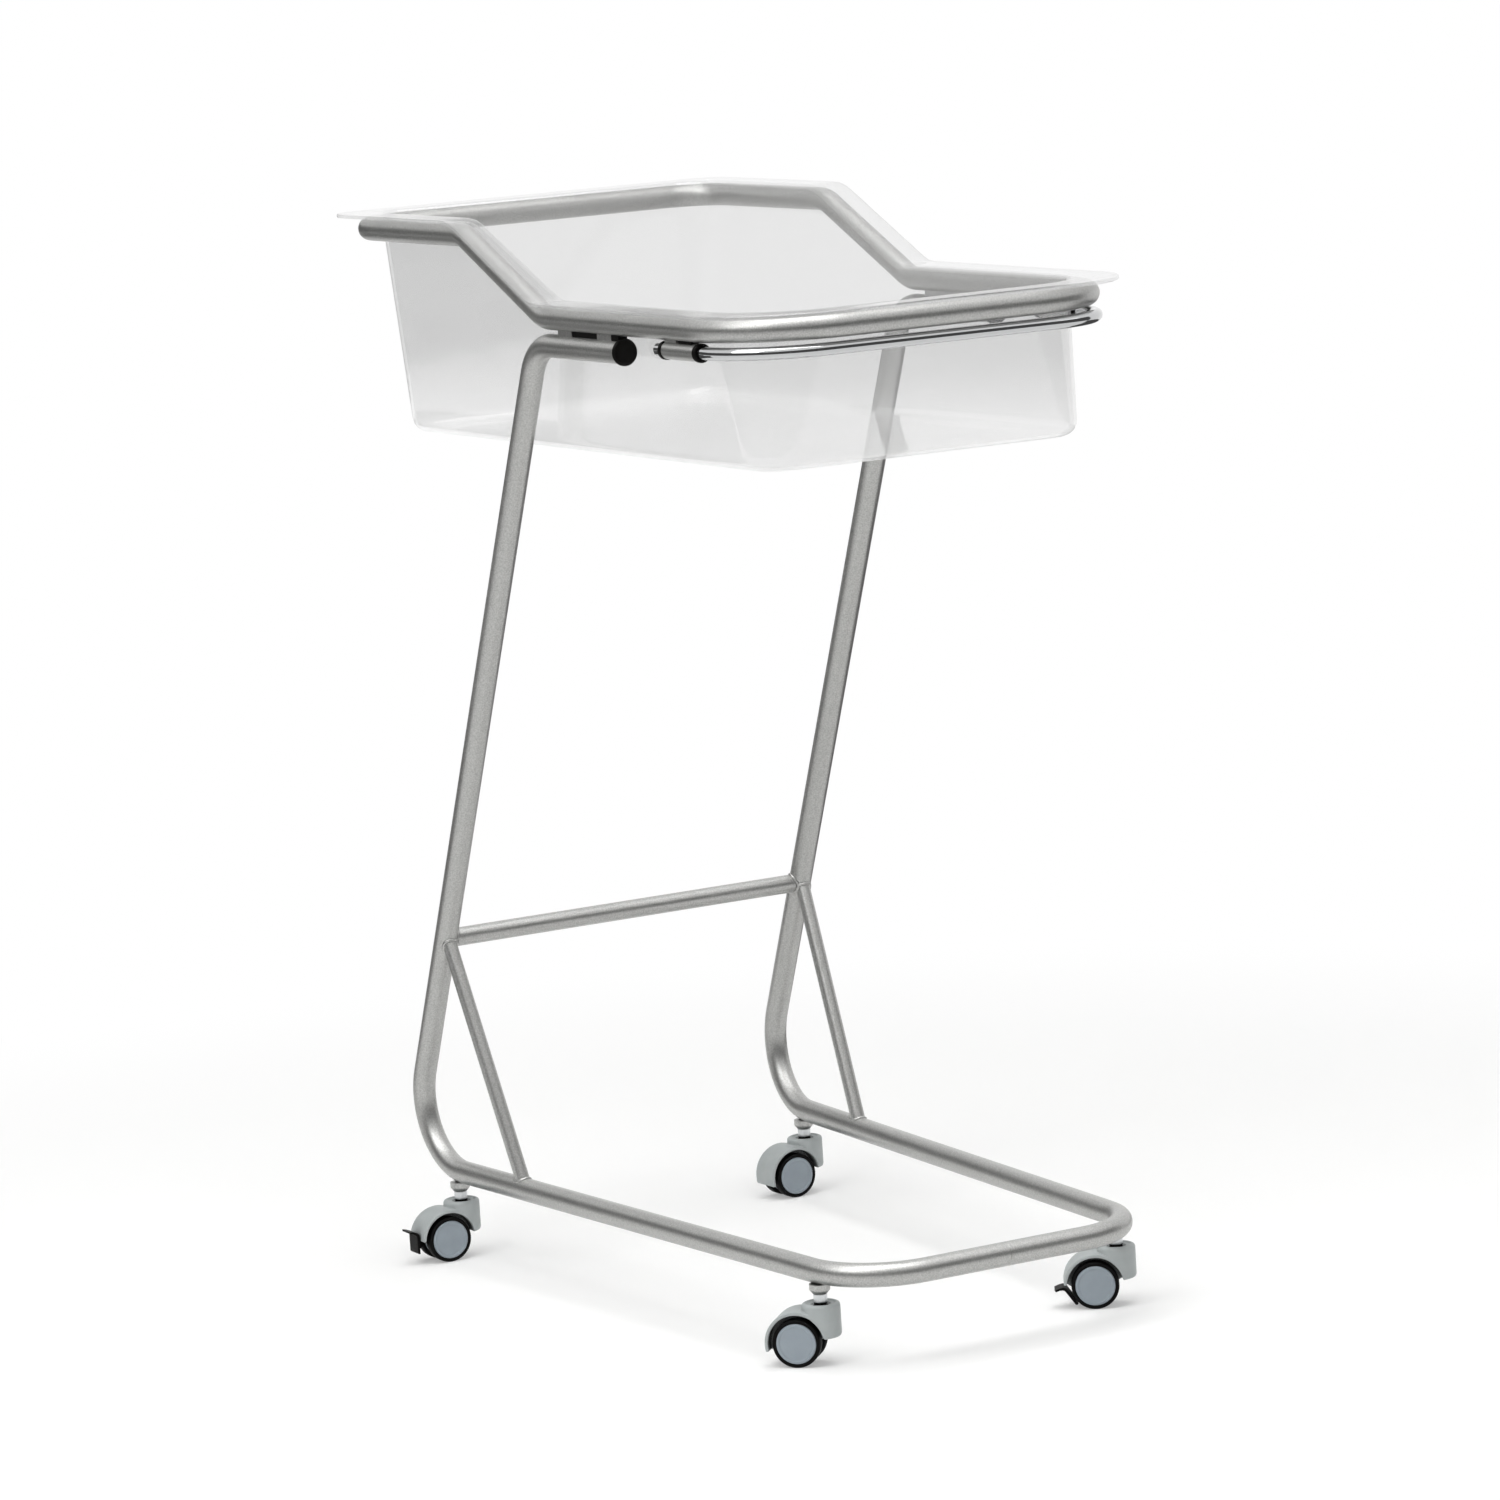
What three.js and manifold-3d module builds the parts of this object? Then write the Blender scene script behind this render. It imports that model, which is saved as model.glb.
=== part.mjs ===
// Hospital bassinet: a bent tube stand on four twin-wheel casters that carries a clear lift-out tub.
// Millimetres. +X runs from the head end to the foot end, +Y to the right side, +Z up from the floor.
import * as THREE from 'three';
import { mergeVertices } from 'three/addons/utils/BufferGeometryUtils.js';
import Module from 'manifold-3d';

const wasm = await Module();
wasm.setup();

// Stand: one bent tube on each side makes the stub, the leaning leg, the base rail and half the foot tube
const tubeDia = 22;
const tubeWall = 1.5;
const halfWidth = 196; // stub and ring rail centres from the middle plane
const legFootHalf = 199.5; // the legs spread a little towards the floor
const baseHeight = 84.5; // base tube centre above the floor
const legFootX = -402; // where the leg and base rail centre lines cross
const legLean = 24.3; // degrees from upright, towards the foot end
const legFootBend = 66;
const legTopBend = 45;
const stubEndX = 132;
const baseFootX = 374; // foot tube centre
const baseFootHalf = 154; // the base rails close in towards the foot
const baseCornerBend = 75;

// Cross bar and braces
const crossBarDia = 18;
const crossBarHeight = 316.5;
const braceDia = 14;
const braceTopRise = 5; // brace top above the cross bar, on the leg centre line
const braceRun = 214; // from the leg foot along the base rail
const lightWall = 1.5;

// Ring that holds the tub, with its head end raised
const ringHeight = 928.5; // low rail centre
const ringRise = 71;
const ringHeadX = -392;
const ringFootX = 359;
const slopeHeadX = -162;
const slopeFootX = -12;
const ringHeadBend = 45;
const ringFootBend = 95;
const slopeBend = 45;
const stubGap = 3.5; // open height between stub and ring

// Spacers between the stubs and the ring
const spacerLength = 100;
const spacerWidth = 9;
const spacerEndGap = 14; // from the stub's end
const spacerSlot = 48;
const spacerWeb = 3;

// End plugs of the stubs
const plugLip = 4;
const plugShank = 22;
const plugCrown = 1.2;

// Foot rail and the sleeves that hold it under the ring
const railDia = 12;
const railDrop = 20; // below the ring rail centre
const railEndX = 196;
const railFootInset = 2; // behind the ring's foot tube
const railBend = 75;
const sleeveStartX = 214;
const sleeveLength = 56;
const sleeveDia = 16;
const sleeveWall = 1;
const sleevePadLength = 22;
const sleevePadWidth = 8;
const bushFlange = 5;
const bushFlangeDia = 17.2;
const bushSpigot = 12;

// Tub: clear moulded plastic with a flat rim that lies on the ring
const tubWall = 3;
const tubDepth = 127; // from the low ring rail centre down to the outside of the floor
const tubDraft = 0.062; // sideways run for each millimetre of height
const tubFootDraft = 0.13; // the foot wall leans more
const tubRingGap = 2;
const tubFloorRadius = 14;
const tubHeadCorner = 32;
const tubFootCorner = 38; // at the floor
const tubFootCornerTop = 80; // at the low rim
const rimThickness = 3.5;
const rimOverhang = 8; // past the outside of the ring tube
const rimHeadCorner = 30;
const rimFootCorner = 88;

// Casters
const casterHeadX = -312;
const casterFootX = 312;
const headLeftTurn = -92; // trailing direction in degrees from +X
const headRightTurn = -88;
const footLeftTurn = -134;
const footRightTurn = -122;
const socketDia = 19;
const socketBottom = 65;
const socketChamfer = 3.5;
const socketNotch = 3;
const stemDia = 8;
const stemThreadDia = 10;
const stemCollarDia = 12.5;
const turretDia = 35;
const turretTop = 57;
const turretBottom = 28.5;
const turretChamfer = 3;
const stemDepth = 11;
const swivelBushWall = 1.8;
const trail = 21; // axle behind the swivel axis
const wheelRadius = 22;
const wheelWidth = 11;
const hubRadius = 19;
const hubDish = 0.8;
const webThickness = 8; // plate between the wheels
const wheelSideGap = 1;
const hoodGap = 4;
const hoodThickness = 3;
const hoodTail = -15; // degrees above the axle where a plain hood ends
const brakedHoodTail = 12; // a braked hood stops short above its pedal arm
const axleDia = 6;
const axleEnd = 8; // reach into each hub

// Brake pedals, on the head left and foot right casters
const pedalPivotTrail = 33;
const pedalPivotHeight = 30;
const pedalPinDia = 4;
const pedalTongue = 3.6;
const pedalWidth = 18;
const pedalThickness = 3;
const pedalTop = 31.5;
const pedalFloor = 11.5;
const pedalArm = 6; // height of the arm at the plate
const pedalArmDrop = 5.5; // arm below the pivot, to pass under the hood's tail
const pedalToe = 7;
const pedalToeThickness = 1.8;
const pedalClear = 1.2; // pedal to hood
const pedalPressed = 35; // degrees

// Clearances and facets
const touchGap = 0.3;
const jointGap = 0.15;
const bendStep = 15; // degrees for each facet of a bend
const tubeSides = 12;
const boreSides = 6;
const rodSides = 10;
const bushSides = 12;
const turnedSides = 20;
const cornerSteps = 5;

const tubeRadius = tubeDia / 2;
const rad = THREE.MathUtils.degToRad;
const sides = [
  { name: 'left', sign: -1 },
  { name: 'right', sign: 1 },
];

// Geometry helpers

// Merged and closed mesh with its faces pointing out
function closed(geometry) {
  const bare = geometry.index ? geometry.toNonIndexed() : geometry.clone();
  bare.deleteAttribute('normal');
  bare.deleteAttribute('uv');
  const merged = mergeVertices(bare, 1e-4);
  const source = merged.index.array;
  const place = merged.attributes.position;
  const corner = [new THREE.Vector3(), new THREE.Vector3(), new THREE.Vector3()];
  const faces = [];
  let volume = 0;
  for (let i = 0; i < source.length; i += 3) {
    const [a, b, c] = source.slice(i, i + 3);
    if (a === b || b === c || c === a) continue;
    [a, b, c].forEach((index, k) => corner[k].fromBufferAttribute(place, index));
    volume += corner[0].dot(corner[1].clone().cross(corner[2]));
    faces.push([a, b, c]);
  }
  const outward = faces.map(([a, b, c]) => (volume < 0 ? [a, c, b] : [a, b, c]));
  merged.setIndex(outward.flat());
  return merged;
}

function solidOf(geometry) {
  const mesh = closed(geometry);
  const vertProperties = new Float32Array(mesh.attributes.position.array);
  const triVerts = new Uint32Array(mesh.index.array);
  return new wasm.Manifold(new wasm.Mesh({ numProp: 3, vertProperties, triVerts }));
}

function geometryOf(solid) {
  const mesh = solid.getMesh();
  const geometry = new THREE.BufferGeometry();
  geometry.setAttribute('position', new THREE.BufferAttribute(new Float32Array(mesh.vertProperties), 3));
  geometry.setIndex([...mesh.triVerts]);
  return geometry;
}

function cut(body, ...tools) {
  return geometryOf(tools.reduce((left, tool) => left.subtract(solidOf(tool)), solidOf(body)));
}

function join(first, ...rest) {
  return geometryOf(rest.reduce((whole, next) => whole.add(solidOf(next)), solidOf(first)));
}

const common = (first, second) => geometryOf(solidOf(first).intersect(solidOf(second)));

// Places and headings along straight runs with a round bend at each inner corner
function stationsAlong(corners, bends) {
  const points = corners.map((corner) => new THREE.Vector3(...corner));
  const headings = points.slice(1).map((point, i) => point.clone().sub(points[i]).normalize());
  const stations = [{ point: points[0], heading: headings[0] }];
  bends.forEach((radius, i) => {
    const before = headings[i];
    const after = headings[i + 1];
    const turn = before.angleTo(after);
    const inward = after.clone().addScaledVector(before, -before.dot(after)).normalize();
    const start = points[i + 1].clone().addScaledVector(before, -radius * Math.tan(turn / 2));
    const steps = Math.ceil(turn / rad(bendStep));
    for (let k = 0; k <= steps; k += 1) {
      const angle = (turn * k) / steps;
      const point = start.clone().addScaledVector(before, radius * Math.sin(angle));
      point.addScaledVector(inward, radius * (1 - Math.cos(angle)));
      const heading = before.clone().multiplyScalar(Math.cos(angle));
      heading.addScaledVector(inward, Math.sin(angle));
      stations.push({ point, heading });
    }
  });
  stations.push({ point: points.at(-1), heading: headings.at(-1) });
  return stations;
}

class BentPath extends THREE.Curve {
  constructor(stations) {
    super();
    this.stations = stations;
  }

  stationAt(share) {
    return this.stations[Math.round(share * (this.stations.length - 1))];
  }

  getPointAt(share) {
    return this.stationAt(share).point.clone();
  }

  getTangentAt(share) {
    return this.stationAt(share).heading.clone();
  }
}

function round(radius, count) {
  const points = [];
  for (let i = 0; i < count; i += 1) {
    const angle = (2 * Math.PI * (i + 0.5)) / count;
    points.push(new THREE.Vector2(radius * Math.cos(angle), radius * Math.sin(angle)));
  }
  return points;
}

// Round bar along a bent path, or a tube where a wall is given
function bar(corners, bends, radius, wall = 0, count = tubeSides) {
  const section = new THREE.Shape(round(radius, count));
  if (wall > 0) section.holes.push(new THREE.Path(round(radius - wall, boreSides)));
  const path = new BentPath(stationsAlong(corners, bends));
  const steps = path.stations.length - 1;
  return new THREE.ExtrudeGeometry(section, { steps, extrudePath: path, curveSegments: 1 });
}

// Turned about the vertical axis, from [radius, height] pairs
function turned(profile, count = turnedSides) {
  const points = profile.map(([radius, height]) => new THREE.Vector2(radius, height));
  return new THREE.LatheGeometry(points, count).rotateX(Math.PI / 2);
}

const alongX = (geometry) => geometry.rotateY(Math.PI / 2);
const alongY = (geometry) => geometry.rotateX(-Math.PI / 2);

function disc(radius, height, count = turnedSides) {
  return turned([[0, 0], [radius, 0], [radius, height], [0, height]], count);
}

function block(x0, x1, y0, y1, z0, z1) {
  const geometry = new THREE.BoxGeometry(x1 - x0, y1 - y0, z1 - z0);
  return geometry.translate((x0 + x1) / 2, (y0 + y1) / 2, (z0 + z1) / 2);
}

// Outline in X and Z, extruded across Y about the middle plane
function plate(outline, width) {
  const shape = { depth: width, bevelEnabled: false, curveSegments: 10 };
  const geometry = new THREE.ExtrudeGeometry(outline, shape);
  return geometry.rotateX(Math.PI / 2).translate(0, width / 2, 0);
}

// Rectangle with its own corner radius at each end, as points going round
function roundedPlan({ headX, footX, half, headCorner, footCorner }) {
  const points = [];
  const corners = [
    [footX - footCorner, half - footCorner, footCorner, 0],
    [headX + headCorner, half - headCorner, headCorner, 90],
    [headX + headCorner, headCorner - half, headCorner, 180],
    [footX - footCorner, footCorner - half, footCorner, 270],
  ];
  for (const [x, y, radius, from] of corners) {
    for (let k = 0; k <= cornerSteps; k += 1) {
      const angle = rad(from + (90 * k) / cornerSteps);
      points.push(new THREE.Vector2(x + radius * Math.cos(angle), y + radius * Math.sin(angle)));
    }
  }
  return points;
}

// Closed skin through level plans, each { height, plan }
function loft(levels) {
  const count = levels[0].plan.length;
  const position = levels.flatMap(({ height, plan }) => {
    return plan.flatMap((point) => [point.x, point.y, height]);
  });
  const faces = [];
  for (let k = 0; k + 1 < levels.length; k += 1) {
    for (let i = 0; i < count; i += 1) {
      const here = k * count + i;
      const next = k * count + ((i + 1) % count);
      faces.push(here, next, next + count, here, next + count, here + count);
    }
  }
  const lid = (levels.length - 1) * count;
  for (const [a, b, c] of THREE.ShapeUtils.triangulateShape(levels[0].plan, [])) faces.push(a, c, b);
  for (const [a, b, c] of THREE.ShapeUtils.triangulateShape(levels.at(-1).plan, [])) {
    faces.push(lid + a, lid + b, lid + c);
  }
  const geometry = new THREE.BufferGeometry();
  geometry.setAttribute('position', new THREE.Float32BufferAttribute(position, 3));
  geometry.setIndex(faces);
  return geometry;
}

function finish(color, roughness, metalness, opacity = 1) {
  return { color, roughness, metalness, opacity, transparent: opacity < 1 };
}

const silverPaint = finish(0xa9a9a5, 0.38, 0.55);
const blackPlastic = finish(0x1b1816, 0.55, 0);
const chrome = finish(0xdcdcdc, 0.08, 1);
const clearPlastic = finish(0xe2e4e3, 0.06, 0, 0.35);
const greyPlastic = finish(0xb5bbbb, 0.45, 0);
const hubPlastic = finish(0x8e98a0, 0.4, 0);
const tyreRubber = finish(0x141414, 0.8, 0);
const zincSteel = finish(0xd4d6d6, 0.3, 1);

const bassinet = new THREE.Group();

function add(parent, name, geometry, look) {
  const mesh = new THREE.Mesh(closed(geometry), new THREE.MeshStandardMaterial(look));
  mesh.name = name;
  parent.add(mesh);
}

// Stand

const leanRun = Math.tan(rad(legLean));
const stubHeight = ringHeight - tubeDia - stubGap;
const braceTopHeight = crossBarHeight + braceTopRise;
const legAt = (height) => legFootX + (height - baseHeight) * leanRun;
const mix = THREE.MathUtils.mapLinear;
const legYAt = (height) => mix(height, baseHeight, stubHeight, legFootHalf, halfWidth);
const baseYAt = (x) => mix(x, legFootX, baseFootX, legFootHalf, baseFootHalf);

function sideTube(sign, radius, wall, past = 0) {
  const corners = [
    [stubEndX + past, sign * halfWidth, stubHeight],
    [legAt(stubHeight), sign * halfWidth, stubHeight],
    [legFootX, sign * legFootHalf, baseHeight],
    [baseFootX, sign * baseFootHalf, baseHeight],
    [baseFootX, sign * jointGap, baseHeight],
  ];
  return bar(corners, [legTopBend, legFootBend, baseCornerBend], radius, wall);
}

const clearOfSide = (sign) => sideTube(sign, tubeRadius + touchGap, 0, touchGap);

function crossBarLine(radius, wall) {
  const x = legAt(crossBarHeight);
  const half = legYAt(crossBarHeight);
  return bar([[x, -half, crossBarHeight], [x, half, crossBarHeight]], [], radius, wall);
}

function crossBar() {
  return cut(crossBarLine(crossBarDia / 2, lightWall), clearOfSide(-1), clearOfSide(1));
}

function brace(sign) {
  const footX = legFootX + braceRun;
  const ends = [
    [legAt(braceTopHeight), sign * legYAt(braceTopHeight), braceTopHeight],
    [footX, sign * baseYAt(footX), baseHeight],
  ];
  const clearOfBar = crossBarLine(crossBarDia / 2 + touchGap);
  return cut(bar(ends, [], braceDia / 2, lightWall), clearOfSide(sign), clearOfBar);
}

function endPlug(sign) {
  const bore = tubeRadius - tubeWall - touchGap;
  const profile = [
    [0, -plugShank],
    [bore * Math.cos(Math.PI / boreSides), -plugShank],
    [bore * Math.cos(Math.PI / boreSides), touchGap],
    [tubeRadius, touchGap],
    [tubeRadius, plugLip - plugCrown],
    [tubeRadius - plugCrown, plugLip],
    [0, plugLip],
  ];
  return alongX(turned(profile, bushSides)).translate(stubEndX, sign * halfWidth, stubHeight);
}

// Ring

const ringHigh = ringHeight + ringRise;
const spacerFootX = stubEndX - spacerEndGap;
const ringJointX = spacerFootX - spacerLength / 2;

function ringHeadBow(radius, wall) {
  const corners = [
    [ringJointX - jointGap, -halfWidth, ringHeight],
    [slopeFootX, -halfWidth, ringHeight],
    [slopeHeadX, -halfWidth, ringHigh],
    [ringHeadX, -halfWidth, ringHigh],
    [ringHeadX, halfWidth, ringHigh],
    [slopeHeadX, halfWidth, ringHigh],
    [slopeFootX, halfWidth, ringHeight],
    [ringJointX - jointGap, halfWidth, ringHeight],
  ];
  const bends = [slopeBend, slopeBend, ringHeadBend, ringHeadBend, slopeBend, slopeBend];
  return bar(corners, bends, radius, wall);
}

function ringFootBow(radius, wall) {
  const corners = [
    [ringJointX + jointGap, -halfWidth, ringHeight],
    [ringFootX, -halfWidth, ringHeight],
    [ringFootX, halfWidth, ringHeight],
    [ringJointX + jointGap, halfWidth, ringHeight],
  ];
  return bar(corners, [ringFootBend, ringFootBend], radius, wall);
}

// Straight bar along a low ring rail, for cutting what seats under it
function clearOfRail(sign) {
  const ends = [[slopeFootX, sign * halfWidth, ringHeight], [ringFootX, sign * halfWidth, ringHeight]];
  return bar(ends, [], tubeRadius + touchGap);
}

function ringSpacer(sign) {
  const startX = spacerFootX - spacerLength;
  const y = sign * halfWidth;
  const body = block(startX, spacerFootX, y - spacerWidth / 2, y + spacerWidth / 2, stubHeight, ringHeight);
  const middle = (startX + spacerFootX) / 2;
  const outer = y + (sign * spacerWidth) / 2;
  const inner = outer - sign * (spacerWidth - spacerWeb);
  const slotEnds = [Math.min(outer, inner), Math.max(outer, inner)];
  slotEnds[sign > 0 ? 1 : 0] += sign;
  const slot = block(middle - spacerSlot / 2, middle + spacerSlot / 2, ...slotEnds, stubHeight, ringHeight);
  return cut(body, clearOfSide(sign), clearOfRail(sign), slot);
}

// Foot rail

const railHeight = ringHeight - railDrop;
const railFootX = ringFootX - railFootInset;
const bushBore = railDia / 2 + touchGap;

function footRail() {
  const corners = [
    [railEndX, -halfWidth, railHeight],
    [railFootX, -halfWidth, railHeight],
    [railFootX, halfWidth, railHeight],
    [railEndX, halfWidth, railHeight],
  ];
  return bar(corners, [railBend, railBend], railDia / 2, 0, rodSides);
}

function railSleeve(sign) {
  const y = sign * halfWidth;
  const radius = sleeveDia / 2;
  const bore = radius - sleeveWall;
  const padEndX = sleeveStartX + sleevePadLength;
  const shell = disc(radius, sleeveLength);
  const sleeve = alongX(shell).translate(sleeveStartX, y, railHeight);
  const padHalf = sleevePadWidth / 2;
  const pad = block(sleeveStartX, padEndX, y - padHalf, y + padHalf, railHeight, ringHeight);
  const hole = alongX(disc(bore, sleeveLength + 2)).translate(sleeveStartX - 1, y, railHeight);
  return cut(join(sleeve, pad), clearOfRail(sign), hole);
}

// Flanged bush at one end of a sleeve; end is -1 at the head side and 1 at the foot side
function railBush(sign, end) {
  const spigot = sleeveDia / 2 - sleeveWall - touchGap;
  const profile = [
    [bushBore, -bushSpigot],
    [spigot, -bushSpigot],
    [spigot, touchGap],
    [bushFlangeDia / 2, touchGap],
    [bushFlangeDia / 2, touchGap + bushFlange],
    [bushBore, touchGap + bushFlange],
    [bushBore, -bushSpigot],
  ];
  const bush = alongX(turned(profile, bushSides));
  if (end < 0) bush.rotateZ(Math.PI);
  const x = end < 0 ? sleeveStartX : sleeveStartX + sleeveLength;
  return bush.translate(x, sign * halfWidth, railHeight);
}

// Tub

const tubBottom = ringHeight - tubDepth;
const rimOffset = tubeRadius + touchGap;
const rimReach = tubeRadius + rimOverhang;

// Rim line in X and Z, offset squarely from the ring's centre line
function rimLine(offset) {
  const past = rimReach + 50;
  const corners = [
    [ringHeadX - past, 0, ringHigh],
    [slopeHeadX, 0, ringHigh],
    [slopeFootX, 0, ringHeight],
    [ringFootX + past, 0, ringHeight],
  ];
  const stations = stationsAlong(corners, [slopeBend, slopeBend]);
  return stations.map(({ point, heading }) => {
    return new THREE.Vector2(point.x - heading.z * offset, point.z + heading.x * offset);
  });
}

// Outside of the tub at a height, clear of the ring at the top and drawn in by the draft below it
function tubPlan(height, inset) {
  const seat = tubeRadius + tubRingGap;
  const inFromHigh = (ringHigh - height) * tubDraft + inset;
  const inFromLow = (ringHeight - height) * tubFootDraft + inset;
  const share = Math.min((height - tubBottom) / tubDepth, 1);
  return roundedPlan({
    headX: ringHeadX + seat + inFromHigh,
    footX: ringFootX - seat - inFromLow,
    half: halfWidth - seat - inFromHigh,
    headCorner: Math.max(tubHeadCorner - inset, 1),
    footCorner: Math.max(tubFootCorner + (tubFootCornerTop - tubFootCorner) * share - inset, 1),
  });
}

// Tub body from its floor up, inset by the wall for the inside; the floor edge is rounded
function tubForm(wall) {
  const floor = tubBottom + wall;
  const radius = tubFloorRadius - wall;
  const levels = [0, 25, 50, 75, 90].map((angle) => {
    const height = floor + radius * (1 - Math.cos(rad(angle)));
    return { height, plan: tubPlan(height, wall + radius * (1 - Math.sin(rad(angle)))) };
  });
  const top = ringHigh + rimOffset + 2 * rimThickness;
  for (const height of [ringHeight, top]) levels.push({ height, plan: tubPlan(height, wall) });
  return loft(levels);
}

function tub() {
  const lower = rimLine(rimOffset);
  const upper = rimLine(rimOffset + rimThickness);
  const roof = ringHigh + 3 * tubeDia;
  const wide = 4 * halfWidth;
  const slab = plate(new THREE.Shape([...lower, ...upper.slice().reverse()]), wide);
  const ends = [new THREE.Vector2(upper.at(-1).x, roof), new THREE.Vector2(upper[0].x, roof)];
  const above = plate(new THREE.Shape([...upper, ...ends]), wide);
  const rimPlan = roundedPlan({
    headX: ringHeadX - rimReach,
    footX: ringFootX + rimReach,
    half: halfWidth + rimReach,
    headCorner: rimHeadCorner,
    footCorner: rimFootCorner,
  });
  const prism = loft([{ height: tubBottom, plan: rimPlan }, { height: roof, plan: rimPlan }]);
  return cut(join(cut(tubForm(0), above), common(slab, prism)), tubForm(tubWall));
}

// Casters, drawn with the swivel axis at the origin, trailing towards +X, with the axle along Y

const wheelInner = webThickness / 2 + wheelSideGap;
const wheelOuter = wheelInner + wheelWidth;
const hoodRadius = wheelRadius + hoodGap;
const boreRadius = stemDia / 2 + touchGap + swivelBushWall + touchGap;
const pedalEye = pedalPinDia / 2 + 2.5;
const atAxle = (geometry) => geometry.translate(trail, 0, wheelRadius);

function casterSocket(x, y, sign) {
  const radius = socketDia / 2;
  const profile = [
    [0, socketBottom],
    [radius - socketChamfer, socketBottom],
    [radius, socketBottom + socketChamfer],
    [radius, baseHeight],
    [0, baseHeight],
  ];
  const holeDepth = baseHeight - tubeRadius - 3 - socketBottom;
  const hole = disc(stemThreadDia / 2 + touchGap, holeDepth + 1, bushSides);
  const top = baseHeight - tubeRadius + 1;
  const notch = block(-radius - 1, -radius / 3, -radius, radius, top - socketNotch, top + tubeRadius);
  const boss = cut(turned(profile), hole.translate(0, 0, socketBottom - 1), notch).translate(x, y, 0);
  return cut(boss, clearOfSide(sign));
}

function casterStem() {
  const threadTop = baseHeight - tubeRadius - 4;
  const pinBottom = turretTop - stemDepth + touchGap;
  return turned([
    [0, pinBottom],
    [stemDia / 2, pinBottom],
    [stemDia / 2, turretTop + touchGap],
    [stemCollarDia / 2, turretTop + touchGap],
    [stemCollarDia / 2, socketBottom - touchGap],
    [stemThreadDia / 2, socketBottom - touchGap],
    [stemThreadDia / 2, threadTop],
    [0, threadTop],
  ], bushSides);
}

function swivelBush() {
  const inner = stemDia / 2 + touchGap;
  const outer = inner + swivelBushWall;
  const low = turretTop - stemDepth + touchGap;
  const high = turretTop - touchGap;
  return turned([[inner, low], [outer, low], [outer, high], [inner, high], [inner, low]], bushSides);
}

// Hood: a turret round the stem, a shell over both wheels and a plate between them
function casterHood(braked) {
  const outer = hoodRadius + hoodThickness;
  const tail = rad(braked ? brakedHoodTail : hoodTail);
  const radius = turretDia / 2;
  const turret = turned([
    [0, turretBottom],
    [radius, turretBottom],
    [radius, turretTop - turretChamfer],
    [radius - turretChamfer, turretTop],
    [0, turretTop],
  ]);
  const arc = new THREE.Shape();
  arc.absarc(0, 0, outer, tail, Math.PI, false);
  arc.lineTo(0, 0);
  const shell = atAxle(plate(arc, 2 * wheelOuter));
  const web = new THREE.Shape();
  web.absarc(0, 0, outer - hoodThickness / 2, tail, Math.PI, false);
  web.lineTo(-axleDia, -axleDia);
  web.lineTo(axleDia, -1.5 * axleDia);
  if (braked) web.lineTo(pedalPivotTrail - trail + pedalPinDia, -axleDia);
  const webPlate = atAxle(plate(web, webThickness));
  const pockets = [-1, 1].map((side) => {
    const pocket = alongY(disc(hoodRadius, 2 * wheelOuter, 24)).rotateY(Math.PI / 24);
    return atAxle(pocket).translate(0, (side * webThickness) / 2 + (side < 0 ? -2 * wheelOuter : 0), 0);
  });
  const axleBore = alongY(disc(axleDia / 2 + touchGap, 4 * wheelOuter, bushSides));
  const axleHole = atAxle(axleBore.translate(0, -2 * wheelOuter, 0));
  const stemHole = disc(boreRadius, stemDepth + 1, bushSides).translate(0, 0, turretTop - stemDepth);
  const body = cut(join(turret, shell), ...pockets);
  const whole = cut(join(body, webPlate), axleHole, stemHole);
  if (!braked) return whole;
  const slotHalf = pedalTongue / 2 + touchGap;
  const slotStart = pedalPivotTrail - pedalEye - 0.7;
  const slotTop = pedalPivotHeight + pedalEye + 0.7;
  const tailHeight = wheelRadius + hoodRadius * Math.sin(tail);
  const eyeRoom = block(slotStart, pedalPivotTrail + 2 * pedalEye, -slotHalf, slotHalf, 0, slotTop);
  const armRoom = block(slotStart, trail + 2 * outer, -slotHalf, slotHalf, 0, tailHeight);
  return cut(whole, eyeRoom, armRoom, pedalPin(pedalPinDia / 2 + touchGap, webThickness + 2));
}

function pedalPin(radius = pedalPinDia / 2, length = webThickness) {
  const pin = alongY(disc(radius, length, bushSides)).translate(0, -length / 2, 0);
  return pin.translate(pedalPivotTrail, 0, pedalPivotHeight);
}

function axle() {
  const half = wheelInner + axleEnd - touchGap;
  return atAxle(alongY(disc(axleDia / 2, 2 * half, bushSides)).translate(0, -half, 0));
}

function wheelHub(side) {
  const bore = axleDia / 2 + touchGap;
  const hub = turned([
    [bore, 0],
    [hubRadius, 0],
    [hubRadius, wheelWidth - hubDish],
    [hubRadius - hubDish, wheelWidth],
    [hubRadius - 3, wheelWidth],
    [hubRadius - 4, wheelWidth - hubDish],
    [0, wheelWidth - hubDish],
    [0, axleEnd],
    [bore, axleEnd],
    [bore, 0],
  ]);
  return seatWheel(hub, side);
}

function wheelTyre(side) {
  const shoulder = 2;
  const inner = hubRadius + touchGap;
  const tyre = turned([
    [inner, 0.5],
    [wheelRadius - shoulder, 0.5],
    [wheelRadius, shoulder],
    [wheelRadius, wheelWidth - shoulder],
    [wheelRadius - shoulder, wheelWidth - 0.5],
    [inner, wheelWidth - 0.5],
    [inner, 0.5],
  ]);
  return seatWheel(tyre, side);
}

// Stand a wheel turned about Z on its axle, with a flat facet of the tread on the floor
function seatWheel(wheel, side) {
  wheel.rotateZ(Math.PI / turnedSides);
  const turnedWheel = side > 0 ? alongY(wheel) : wheel.rotateX(Math.PI / 2);
  return atAxle(turnedWheel.translate(0, side * wheelInner, 0));
}

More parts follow.
